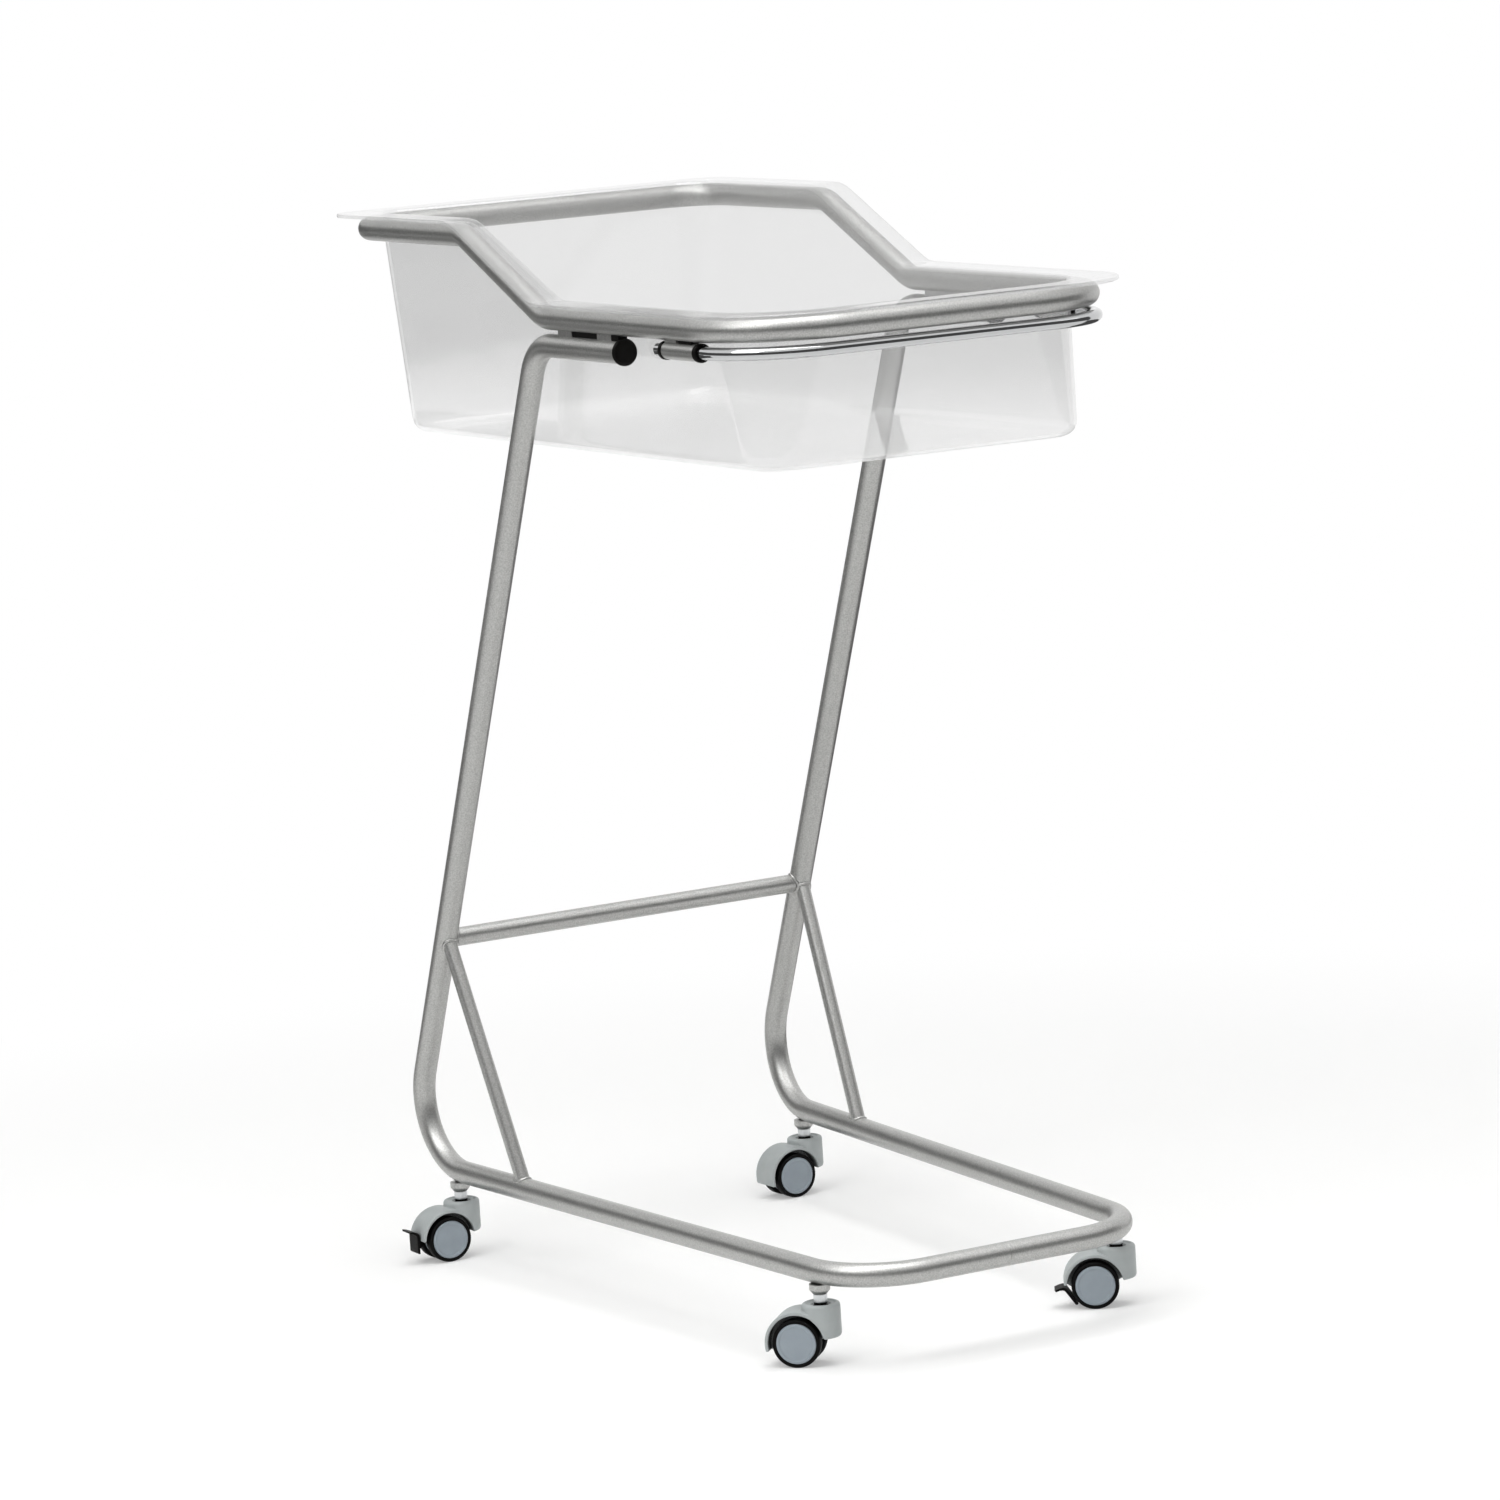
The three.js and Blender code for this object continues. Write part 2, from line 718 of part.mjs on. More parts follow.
// Pedal, drawn raised, in X and Z from its pivot: a plate behind the hood on an arm between the wheels
function brakePedal() {
  const inner = trail + hoodRadius + hoodThickness + pedalClear - pedalPivotTrail;
  const outer = inner + pedalThickness;
  const low = pedalFloor - pedalPivotHeight;
  const high = pedalTop - pedalPivotHeight;
  const arm = new THREE.Shape();
  arm.moveTo(inner + 1, -pedalArmDrop - pedalArm);
  arm.lineTo(inner + 1, -pedalArmDrop);
  arm.lineTo(pedalEye * Math.cos(rad(-16)), pedalEye * Math.sin(rad(-16)));
  arm.absarc(0, 0, pedalEye, rad(-16), rad(260), false);
  const plateSide = new THREE.Shape();
  plateSide.moveTo(inner, low);
  plateSide.lineTo(outer - pedalThickness / 3, low);
  plateSide.lineTo(outer, low + pedalThickness / 3);
  plateSide.lineTo(outer, high - pedalToeThickness);
  plateSide.lineTo(outer + pedalToe, high + pedalToeThickness);
  plateSide.lineTo(outer + pedalToe, high + 2 * pedalToeThickness);
  plateSide.lineTo(inner, high);
  const body = join(plate(arm, pedalTongue), plate(plateSide, pedalWidth));
  const hole = alongY(disc(pedalPinDia / 2 + touchGap, pedalWidth + 2, bushSides));
  return cut(body, hole.translate(0, -pedalWidth / 2 - 1, 0));
}

// Assembly

for (const { name, sign } of sides) {
  add(bassinet, `side_tube_${name}`, sideTube(sign, tubeRadius, tubeWall), silverPaint);
  add(bassinet, `brace_${name}`, brace(sign), silverPaint);
  add(bassinet, `end_plug_${name}`, endPlug(sign), blackPlastic);
  add(bassinet, `ring_spacer_${name}`, ringSpacer(sign), silverPaint);
  add(bassinet, `rail_sleeve_${name}`, railSleeve(sign), silverPaint);
  add(bassinet, `rail_bush_${name}_head`, railBush(sign, -1), blackPlastic);
  add(bassinet, `rail_bush_${name}_foot`, railBush(sign, 1), blackPlastic);
}
add(bassinet, 'cross_bar', crossBar(), silverPaint);
add(bassinet, 'ring_head_bow', ringHeadBow(tubeRadius, tubeWall), silverPaint);
add(bassinet, 'ring_foot_bow', ringFootBow(tubeRadius, tubeWall), silverPaint);
add(bassinet, 'foot_rail', footRail(), chrome);
add(bassinet, 'tub', tub(), clearPlastic);

const casters = [
  { name: 'head_left', x: casterHeadX, sign: -1, turn: headLeftTurn, braked: true, pressed: 0 },
  { name: 'head_right', x: casterHeadX, sign: 1, turn: headRightTurn, braked: false },
  { name: 'foot_left', x: casterFootX, sign: -1, turn: footLeftTurn, braked: false },
  { name: 'foot_right', x: casterFootX, sign: 1, turn: footRightTurn, braked: true, pressed: pedalPressed },
];

for (const { name, x, sign, turn, braked, pressed } of casters) {
  const y = sign * baseYAt(x);
  add(bassinet, `caster_socket_${name}`, casterSocket(x, y, sign), silverPaint);
  const caster = new THREE.Group();
  caster.position.set(x, y, 0);
  caster.rotation.z = rad(turn);
  bassinet.add(caster);
  add(caster, `caster_stem_${name}`, casterStem(), zincSteel);
  add(caster, `swivel_bush_${name}`, swivelBush(), blackPlastic);
  add(caster, `caster_hood_${name}`, casterHood(braked), greyPlastic);
  add(caster, `axle_${name}`, axle(), zincSteel);
  for (const [wheel, side] of [['a', -1], ['b', 1]]) {
    add(caster, `hub_${name}_${wheel}`, wheelHub(side), hubPlastic);
    add(caster, `tyre_${name}_${wheel}`, wheelTyre(side), tyreRubber);
  }
  if (!braked) continue;
  add(caster, `pedal_pin_${name}`, pedalPin(), zincSteel);
  const pedal = new THREE.Group();
  pedal.position.set(pedalPivotTrail, 0, pedalPivotHeight);
  pedal.rotation.y = rad(pressed);
  caster.add(pedal);
  add(pedal, `brake_pedal_${name}`, brakePedal(), blackPlastic);
}

// The origin is on the floor under the middle of the whole bassinet
bassinet.updateMatrixWorld(true);
const extent = new THREE.Box3().setFromObject(bassinet, true);
const middle = extent.getCenter(new THREE.Vector3());
bassinet.position.set(-middle.x, -middle.y, -extent.min.z);

export default bassinet;
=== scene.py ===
import bpy
import bmesh
import math
from mathutils import Matrix, Vector


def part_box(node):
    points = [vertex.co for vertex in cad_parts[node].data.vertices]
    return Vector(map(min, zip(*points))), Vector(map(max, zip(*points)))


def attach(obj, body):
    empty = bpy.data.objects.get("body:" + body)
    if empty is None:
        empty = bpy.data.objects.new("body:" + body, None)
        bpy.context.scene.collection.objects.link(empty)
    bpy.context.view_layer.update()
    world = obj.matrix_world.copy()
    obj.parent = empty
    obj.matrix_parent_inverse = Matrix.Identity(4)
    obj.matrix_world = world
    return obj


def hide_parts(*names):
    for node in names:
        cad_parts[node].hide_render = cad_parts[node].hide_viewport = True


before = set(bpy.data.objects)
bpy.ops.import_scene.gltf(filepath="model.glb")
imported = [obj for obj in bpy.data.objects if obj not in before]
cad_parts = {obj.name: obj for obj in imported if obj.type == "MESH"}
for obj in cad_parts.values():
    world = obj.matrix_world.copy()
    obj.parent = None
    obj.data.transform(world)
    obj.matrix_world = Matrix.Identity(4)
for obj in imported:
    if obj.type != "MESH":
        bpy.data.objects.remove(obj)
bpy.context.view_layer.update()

mm = 0.001

# the sizes below are millimetres about the bassinet's own middle plane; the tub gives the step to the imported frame
tubLow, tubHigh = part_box("tub")
frameStep = Vector((tubLow.x + 0.411, (tubLow.y + tubHigh.y) / 2, tubLow.z - 0.8015))
toFrame = Matrix.Translation(frameStep) @ Matrix.Scale(mm, 4)
print("frame step", [round(value * 1000, 3) for value in frameStep])


# small tools for materials

def hexColour(code):
    channels = [int(code[i:i + 2], 16) / 255 for i in (1, 3, 5)]
    return [c / 12.92 if c <= 0.04045 else ((c + 0.055) / 1.055) ** 2.4 for c in channels] + [1]


def addNode(tree, kind, settings=None, links=None):
    node = tree.nodes.new(kind)
    for key, value in (settings or {}).items():
        if isinstance(key, int) or key in node.inputs:
            node.inputs[key].default_value = value
        else:
            setattr(node, key, value)
    for key, source in (links or {}).items():
        tree.links.new(source, node.inputs[key])
    return node


def newMaterial(name, settings):
    material = bpy.data.materials.new(name)
    material.use_nodes = True
    tree = material.node_tree
    tree.nodes.clear()
    shader = addNode(tree, "ShaderNodeBsdfPrincipled", settings)
    addNode(tree, "ShaderNodeOutputMaterial", {}, {"Surface": shader.outputs[0]})
    spot = addNode(tree, "ShaderNodeTexCoord").outputs["Object"]
    return material, tree, shader, spot


def perMm(size):
    return 1000 / size


# polyester powder coat with aluminium flake, sprayed on steel tube and baked: satin metal sheen, faint orange peel and a fine
# sparkle, whose flakes are drawn larger than life so that they show
def silverPowderCoat():
    coat = {"low": "#a3a3a1", "high": "#bfbfbd", "flakeMm": 1.4, "peelMm": 3.2, "patchMm": 60}
    material, tree, shader, spot = newMaterial("silverPowderCoat", {
        "Metallic": 0.92, "Coat Weight": 0.1, "Coat Roughness": 0.2})
    flake = addNode(tree, "ShaderNodeTexNoise", {"Scale": perMm(coat["flakeMm"]), "Detail": 2.0}, {"Vector": spot})
    patch = addNode(tree, "ShaderNodeTexNoise", {"Scale": perMm(coat["patchMm"]), "Detail": 3.0}, {"Vector": spot})
    shade = addNode(tree, "ShaderNodeMapRange", {"From Min": 0.3, "From Max": 0.7}, {"Value": flake.outputs["Fac"]})
    colour = addNode(tree, "ShaderNodeMix", {
        "data_type": "RGBA", 6: hexColour(coat["low"]), 7: hexColour(coat["high"])}, {0: shade.outputs[0]})
    rough = addNode(tree, "ShaderNodeMapRange", {"To Min": 0.34, "To Max": 0.44}, {"Value": patch.outputs["Fac"]})
    peel = addNode(tree, "ShaderNodeTexNoise", {"Scale": perMm(coat["peelMm"]), "Detail": 1.0}, {"Vector": spot})
    bump = addNode(tree, "ShaderNodeBump", {"Strength": 0.12, "Distance": 0.0003}, {"Height": peel.outputs["Fac"]})
    tree.links.new(colour.outputs[2], shader.inputs["Base Color"])
    tree.links.new(rough.outputs[0], shader.inputs["Roughness"])
    tree.links.new(bump.outputs[0], shader.inputs["Normal"])
    return material


# steel rod, polished and chrome plated: mirror bright, with a trace of polishing marks
def polishedChrome():
    plate = {"colour": "#c2c3c4", "markMm": 7}
    material, tree, shader, spot = newMaterial("polishedChrome", {
        "Metallic": 1.0, "Base Color": hexColour(plate["colour"])})
    marks = addNode(tree, "ShaderNodeTexNoise", {"Scale": perMm(plate["markMm"]), "Detail": 4.0}, {"Vector": spot})
    rough = addNode(tree, "ShaderNodeMapRange", {"To Min": 0.05, "To Max": 0.13}, {"Value": marks.outputs["Fac"]})
    tree.links.new(rough.outputs[0], shader.inputs["Roughness"])
    return material


# clear PETG sheet, vacuum formed over a mould: glossy, faintly grey in its thickness, paler where it is drawn thin towards the
# floor and milky on the floor itself, where things are laid, with slow waves from forming. The two faces of so thin a sheet
# undo each other's bending of what is behind it, so its own index is 1 and its gloss is a coat
def clearFormedSheet():
    sheet = {"drawn": "#f4f4f4", "full": "#e8e8e8", "drawnMm": 4, "fullMm": 75, "waveMm": 90, "scuffMm": 14,
             "floorClear": 0.87, "wallClear": 0.95, "floorMm": 3, "clearMm": 25}
    material, tree, shader, spot = newMaterial("clearFormedSheet", {
        "IOR": 1.0, "Metallic": 0.0, "Coat Weight": 0.8, "Coat IOR": 1.5, "Coat Roughness": 0.07})
    height = addNode(tree, "ShaderNodeSeparateXYZ", {}, {0: spot})
    depth = addNode(tree, "ShaderNodeMapRange", {
        "From Min": tubLow.z + sheet["drawnMm"] * mm, "From Max": tubLow.z + sheet["fullMm"] * mm},
        {"Value": height.outputs["Z"]})
    tint = addNode(tree, "ShaderNodeMix", {
        "data_type": "RGBA", 6: hexColour(sheet["drawn"]), 7: hexColour(sheet["full"])}, {0: depth.outputs[0]})
    clear = addNode(tree, "ShaderNodeMapRange", {
        "From Min": tubLow.z + sheet["floorMm"] * mm, "From Max": tubLow.z + sheet["clearMm"] * mm,
        "To Min": sheet["floorClear"], "To Max": sheet["wallClear"]}, {"Value": height.outputs["Z"]})
    waves = addNode(tree, "ShaderNodeTexNoise", {"Scale": perMm(sheet["waveMm"]), "Detail": 1.0}, {"Vector": spot})
    scuffs = addNode(tree, "ShaderNodeTexNoise", {"Scale": perMm(sheet["scuffMm"]), "Detail": 5.0}, {"Vector": spot})
    rough = addNode(tree, "ShaderNodeMapRange", {"From Min": 0.35, "From Max": 0.75, "To Min": 0.03, "To Max": 0.1},
                    {"Value": scuffs.outputs["Fac"]})
    bump = addNode(tree, "ShaderNodeBump", {"Strength": 0.15, "Distance": 0.002}, {"Height": waves.outputs["Fac"]})
    tree.links.new(tint.outputs[2], shader.inputs["Base Color"])
    tree.links.new(clear.outputs[0], shader.inputs["Transmission Weight"])
    tree.links.new(rough.outputs[0], shader.inputs["Roughness"])
    tree.links.new(bump.outputs[0], shader.inputs["Normal"])
    tree.links.new(bump.outputs[0], shader.inputs["Coat Normal"])
    return material


# injection moulded plastics: a fine spark-eroded grain gives an even, soft shine, and where a look asks for it, painted
# shade darkens narrow gaps
def mouldedPlastic(name, look):
    material, tree, shader, spot = newMaterial(name, {
        "IOR": look["ior"], "Specular IOR Level": look["shine"]})
    cloud = addNode(tree, "ShaderNodeTexNoise", {"Scale": perMm(look["cloudMm"]), "Detail": 3.0}, {"Vector": spot})
    colour = addNode(tree, "ShaderNodeMix", {
        "data_type": "RGBA", 6: hexColour(look["low"]), 7: hexColour(look["high"])}, {0: cloud.outputs["Fac"]})
    rough = addNode(tree, "ShaderNodeMapRange", {
        "To Min": look["rough"] - 0.05, "To Max": look["rough"] + 0.05}, {"Value": cloud.outputs["Fac"]})
    grain = addNode(tree, "ShaderNodeTexNoise", {"Scale": perMm(look["grainMm"]), "Detail": 2.0}, {"Vector": spot})
    bump = addNode(tree, "ShaderNodeBump", {"Strength": look["bump"], "Distance": 0.0002},
                   {"Height": grain.outputs["Fac"]})
    if "paintedShade" in look:
        # painted shade: the colour goes near black where ambient occlusion finds other surfaces within a few
        # millimetres
        gap = addNode(tree, "ShaderNodeAmbientOcclusion", {"samples": 8, "Distance": look["gapMm"] * mm})
        unshaded = addNode(tree, "ShaderNodeMapRange", {"From Min": 0.25, "From Max": 0.6}, {"Value": gap.outputs["AO"]})
        colour = addNode(tree, "ShaderNodeMix", {"data_type": "RGBA", 6: hexColour(look["paintedShade"])},
                         {0: unshaded.outputs[0], 7: colour.outputs[2]})
    tree.links.new(colour.outputs[2], shader.inputs["Base Color"])
    tree.links.new(rough.outputs[0], shader.inputs["Roughness"])
    tree.links.new(bump.outputs[0], shader.inputs["Normal"])
    return material


# zinc plated steel: bright, slightly milky metal with fine turning marks
def zincPlate():
    plate = {"low": "#c3c6c8", "high": "#dfe1e2", "grainMm": 0.8}
    material, tree, shader, spot = newMaterial("zincPlate", {"Metallic": 1.0, "Roughness": 0.3})
    grain = addNode(tree, "ShaderNodeTexNoise", {"Scale": perMm(plate["grainMm"]), "Detail": 3.0}, {"Vector": spot})
    colour = addNode(tree, "ShaderNodeMix", {
        "data_type": "RGBA", 6: hexColour(plate["low"]), 7: hexColour(plate["high"])}, {0: grain.outputs["Fac"]})
    tree.links.new(colour.outputs[2], shader.inputs["Base Color"])
    return material


finishes = {
    "silver_paint": silverPowderCoat(),
    "chrome_rail": polishedChrome(),
    "clear_plastic": clearFormedSheet(),
    "zinc_steel": zincPlate(),
    # polyethylene plugs, bushes and pedals, moulded in black
    "black_plastic": mouldedPlastic("mouldedBlackPolyethylene", {
        "low": "#080807", "high": "#100e0d", "ior": 1.51, "shine": 0.08, "rough": 0.46, "cloudMm": 9, "grainMm": 0.6, "bump": 0.2}),
    # glass filled nylon hoods, moulded in light grey, with painted shade inside the gap over the wheels
    "grey_plastic": mouldedPlastic("mouldedGreyNylon", {
        "low": "#a0a6a6", "high": "#b2b7b7", "ior": 1.53, "shine": 0.4, "rough": 0.46, "cloudMm": 12, "grainMm": 0.7, "bump": 0.15,
        "paintedShade": "#141414", "gapMm": 9}),
    # ABS wheel discs, moulded in blue-grey
    "hub_plastic": mouldedPlastic("mouldedBlueGreyAbs", {
        "low": "#8a949d", "high": "#9aa4ac", "ior": 1.54, "shine": 0.5, "rough": 0.36, "cloudMm": 15, "grainMm": 0.6, "bump": 0.1}),
    # thermoplastic rubber tread, moulded: dull and very dark
    "tyre_rubber": mouldedPlastic("mouldedBlackRubber", {
        "low": "#060606", "high": "#0c0b0b", "ior": 1.52, "shine": 0.1, "rough": 0.62, "cloudMm": 6, "grainMm": 0.5, "bump": 0.3}),
}
print("finishes", len(finishes))


# small tools for meshes, all in millimetres until the piece is placed

def bentPath(corners, bends, degrees=5):
    points = [Vector(corner) for corner in corners]
    headings = [(b - a).normalized() for a, b in zip(points, points[1:])]
    stations = [(points[0], headings[0])]
    for i, radius in enumerate(bends):
        before, after = headings[i], headings[i + 1]
        turn = before.angle(after)
        inward = (after - before * before.dot(after)).normalized()
        start = points[i + 1] - before * radius * math.tan(turn / 2)
        steps = max(2, math.ceil(math.degrees(turn) / degrees))
        for k in range(steps + 1):
            angle = turn * k / steps
            spot = start + before * radius * math.sin(angle) + inward * radius * (1 - math.cos(angle))
            stations.append((spot, before * math.cos(angle) + inward * math.sin(angle)))
    stations.append((points[-1], headings[-1]))
    return stations


def joinRings(bm, rings, closed=False):
    pairs = list(zip(rings, rings[1:])) + ([(rings[-1], rings[0])] if closed else [])
    for low, high in pairs:
        count = max(len(low), len(high))
        for i in range(count):
            j = (i + 1) % count
            loop = [low[i % len(low)], low[j % len(low)], high[j % len(high)], high[i % len(high)]]
            face = list(dict.fromkeys(loop))
            if len(face) > 2:
                bm.faces.new(face)


# round bar along stations; a closed loop joins its own end, an open one gets lightly rounded ends
def sweep(bm, stations, radius, sides=32, closed=False, edge=0.6):
    places = [spot for spot, heading in stations]
    headings = [heading for spot, heading in stations]
    side = headings[0].orthogonal().normalized()
    sideways = [side]
    for before, after in zip(headings, headings[1:]):
        side = before.rotation_difference(after) @ side
        sideways.append(side.copy())
    twist = 0.0
    if closed:
        last = headings[-1].rotation_difference(headings[0]) @ sideways[-1]
        twist = math.atan2(headings[0].dot(last.cross(sideways[0])), last.dot(sideways[0]))
    steps = [(spot, heading, aside, radius) for spot, heading, aside in zip(places, headings, sideways)]
    if not closed:
        first, final = steps[0], steps[-1]
        steps[0] = (first[0] + first[1] * edge, first[1], first[2], radius)
        steps[-1] = (final[0] - final[1] * edge, final[1], final[2], radius)
        steps = [(first[0], first[1], first[2], radius - edge)] + steps + [(final[0], final[1], final[2], radius - edge)]
    rings = []
    for k, (spot, heading, aside, size) in enumerate(steps):
        across = heading.cross(aside)
        lead = twist * k / len(steps)
        angles = [2 * math.pi * i / sides + lead for i in range(sides)]
        rings.append([bm.verts.new(spot + (aside * math.cos(a) + across * math.sin(a)) * size) for a in angles])
    joinRings(bm, rings, closed)
    if not closed:
        bm.faces.new(list(reversed(rings[0])))
        bm.faces.new(rings[-1])


# turned about Z from (radius, height) pairs; a profile that starts off the axis closes on itself
def turn(bm, profile, sides=48):
    rings = []
    for radius, height in profile:
        if radius < 1e-6:
            rings.append([bm.verts.new((0, 0, height))])
        else:
            angles = [2 * math.pi * i / sides for i in range(sides)]
            rings.append([bm.verts.new((radius * math.cos(a), radius * math.sin(a), height)) for a in angles])
    joinRings(bm, rings, closed=profile[0][0] > 1e-6)


# outline in X and Z, extruded across Y about the middle plane
def slab(bm, outline, width):
    near = [bm.verts.new((x, -width / 2, z)) for x, z in outline]
    far = [bm.verts.new((x, width / 2, z)) for x, z in outline]
    joinRings(bm, [near, far])
    bm.faces.new(near)
    bm.faces.new(list(reversed(far)))


def roundEdges(bm, width, segments=3, angle=30):
    sharp = [e for e in bm.edges if len(e.link_faces) == 2 and math.degrees(e.calc_face_angle()) > angle]
    bmesh.ops.bevel(bm, geom=sharp, offset=width, segments=segments, profile=0.5, affect="EDGES", clamp_overlap=True)


def shaped(bm, name, matrix=None, smoothAngle=40):
    bmesh.ops.recalc_face_normals(bm, faces=bm.faces)
    if matrix is not None:
        bm.transform(matrix)
    mesh = bpy.data.meshes.new(name)
    bm.to_mesh(mesh)
    bm.free()
    mesh.shade_smooth()
    mesh.set_sharp_from_angle(angle=math.radians(smoothAngle))
    piece = bpy.data.objects.new(name, mesh)
    bpy.context.scene.collection.objects.link(piece)
    return piece


def fit(piece, body, slotName, *nodes):
    piece.data.materials.clear()
    piece.data.materials.append(finishes[slotName])
    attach(piece, body)
    if nodes:
        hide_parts(*nodes)
    return piece


# bead along the line where a bar meets a larger tube
def weldBead(bm, spot, heading, radius, hostSpot, hostHeading, hostRadius, bead=1.7):
    heading = heading.normalized()
    hostHeading = hostHeading.normalized()
    aside = heading.orthogonal().normalized()
    across = heading.cross(aside)
    loop = []
    count = 40
    for i in range(count):
        a = 2 * math.pi * i / count
        start = spot + (aside * math.cos(a) + across * math.sin(a)) * radius - hostSpot
        flat = start - hostHeading * start.dot(hostHeading)
        slope = heading - hostHeading * heading.dot(hostHeading)
        b, c = flat.dot(slope), flat.dot(flat) - hostRadius ** 2
        reach = (-b + math.sqrt(max(b * b - slope.dot(slope) * c, 0))) / slope.dot(slope)
        loop.append(start + heading * reach + hostSpot)
    stations = [(loop[i], (loop[(i + 1) % count] - loop[i - 1]).normalized()) for i in range(count)]
    sweep(bm, stations, bead, sides=10, closed=True)


# stand

stand = {
    "tube": 11, "halfWidth": 196, "legFootHalf": 199.5, "baseHeight": 84.5, "legFootX": -402, "lean": 24.3,
    "footBend": 66, "topBend": 45, "stubEndX": 132, "stubHeight": 903, "baseFootX": 374, "baseFootHalf": 154,
    "cornerBend": 75, "crossBar": 9, "crossBarHeight": 316.5, "brace": 7, "braceTop": 321.5, "braceFootX": -188,
}


def legAt(height):
    return stand["legFootX"] + (height - stand["baseHeight"]) * math.tan(math.radians(stand["lean"]))


# the legs spread towards the floor, and the base rails close in towards the foot
def legHalfAt(height):
    share = (height - stand["baseHeight"]) / (stand["stubHeight"] - stand["baseHeight"])
    return stand["legFootHalf"] + (stand["halfWidth"] - stand["legFootHalf"]) * share


def baseHalfAt(x):
    share = (x - stand["legFootX"]) / (stand["baseFootX"] - stand["legFootX"])
    return stand["legFootHalf"] + (stand["baseFootHalf"] - stand["legFootHalf"]) * share


sides = {"left": -1, "right": 1}

for name, sign in sides.items():
    bm = bmesh.new()
    stubEnd = Vector((stand["stubEndX"], sign * stand["halfWidth"], stand["stubHeight"]))
    legTop = Vector((legAt(stand["stubHeight"]), sign * stand["halfWidth"], stand["stubHeight"]))
    legFoot = Vector((stand["legFootX"], sign * stand["legFootHalf"], stand["baseHeight"]))
    footCorner = Vector((stand["baseFootX"], sign * stand["baseFootHalf"], stand["baseHeight"]))
    footMiddle = Vector((stand["baseFootX"], sign * 0.05, stand["baseHeight"]))
    bends = [stand["topBend"], stand["footBend"], stand["cornerBend"]]
    sweep(bm, bentPath([stubEnd, legTop, legFoot, footCorner, footMiddle], bends), stand["tube"], 40, edge=0.4)
    fit(shaped(bm, f"sideTube.{name}", toFrame), "frame", "silver_paint", f"side_tube_{name}")

    bm = bmesh.new()
    top = Vector((legAt(stand["braceTop"]), sign * legHalfAt(stand["braceTop"]), stand["braceTop"]))
    foot = Vector((stand["braceFootX"], sign * baseHalfAt(stand["braceFootX"]), stand["baseHeight"]))
    run = (foot - top).normalized()
    sweep(bm, [(top + run * 9.5, run), (foot - run * 7, run)], stand["brace"], 28)
    weldBead(bm, top, run, stand["brace"], top, legTop - legFoot, stand["tube"])
    weldBead(bm, foot, -run, stand["brace"], foot, footCorner - legFoot, stand["tube"])
    fit(shaped(bm, f"brace.{name}", toFrame), "frame", "silver_paint", f"brace_{name}")

bm = bmesh.new()
crossX, crossZ, crossHalf = legAt(stand["crossBarHeight"]), stand["crossBarHeight"], legHalfAt(stand["crossBarHeight"])
sideways = Vector((0, 1, 0))
sweep(bm, [(Vector((crossX, end * (crossHalf - 9), crossZ)), sideways) for end in (-1, 1)], stand["crossBar"], 32)
for sign in sides.values():
    spot = Vector((crossX, sign * crossHalf, crossZ))
    lean = Vector((legAt(900) - legAt(0), 0, 900))
    weldBead(bm, spot, sideways * -sign, stand["crossBar"], spot, lean, stand["tube"])
fit(shaped(bm, "crossBar", toFrame), "frame", "silver_paint", "cross_bar")

# black plug with a domed face in each stub
plug = {"rim": 1.4, "shank": 20, "bore": 9.2}
for name, sign in sides.items():
    bm = bmesh.new()
    r = stand["tube"] + plug["rim"]
    turn(bm, [(0, -plug["shank"]), (plug["bore"] - 1, -plug["shank"]), (plug["bore"], -plug["shank"] + 1), (plug["bore"], 0.1),
              (r - 0.3, 0.1), (r, 0.4), (r, 2.4), (r - 0.25, 3.0), (r - 0.9, 3.6), (r - 2.2, 3.9), (r - 5, 4.0), (0, 4.0)])
    seat = Matrix.Translation((stand["stubEndX"], sign * stand["halfWidth"], stand["stubHeight"]))
    fit(shaped(bm, f"endPlug.{name}", toFrame @ seat @ Matrix.Rotation(math.pi / 2, 4, "Y")),
        "frame", "black_plastic", f"end_plug_{name}")
print("stand done")


# ring with a raised head end

ring = {"low": 928.5, "rise": 71, "headX": -392, "footX": 359, "slopeHeadX": -162, "slopeFootX": -12,
        "headBend": 45, "footBend": 95, "slopeBend": 45, "jointX": 68}

bm = bmesh.new()
w, low, high = stand["halfWidth"], ring["low"], ring["low"] + ring["rise"]
corners = [(ring["jointX"], -w, low), (ring["slopeFootX"], -w, low), (ring["slopeHeadX"], -w, high), (ring["headX"], -w, high),
           (ring["headX"], w, high), (ring["slopeHeadX"], w, high), (ring["slopeFootX"], w, low),
           (ring["footX"], w, low), (ring["footX"], -w, low), (ring["jointX"], -w, low)]
bends = [ring["slopeBend"]] * 2 + [ring["headBend"]] * 2 + [ring["slopeBend"]] * 2 + [ring["footBend"]] * 2
sweep(bm, bentPath(corners, bends)[:-1], stand["tube"], 40, closed=True)
fit(shaped(bm, "ring", toFrame), "frame", "silver_paint", "ring_head_bow", "ring_foot_bow")

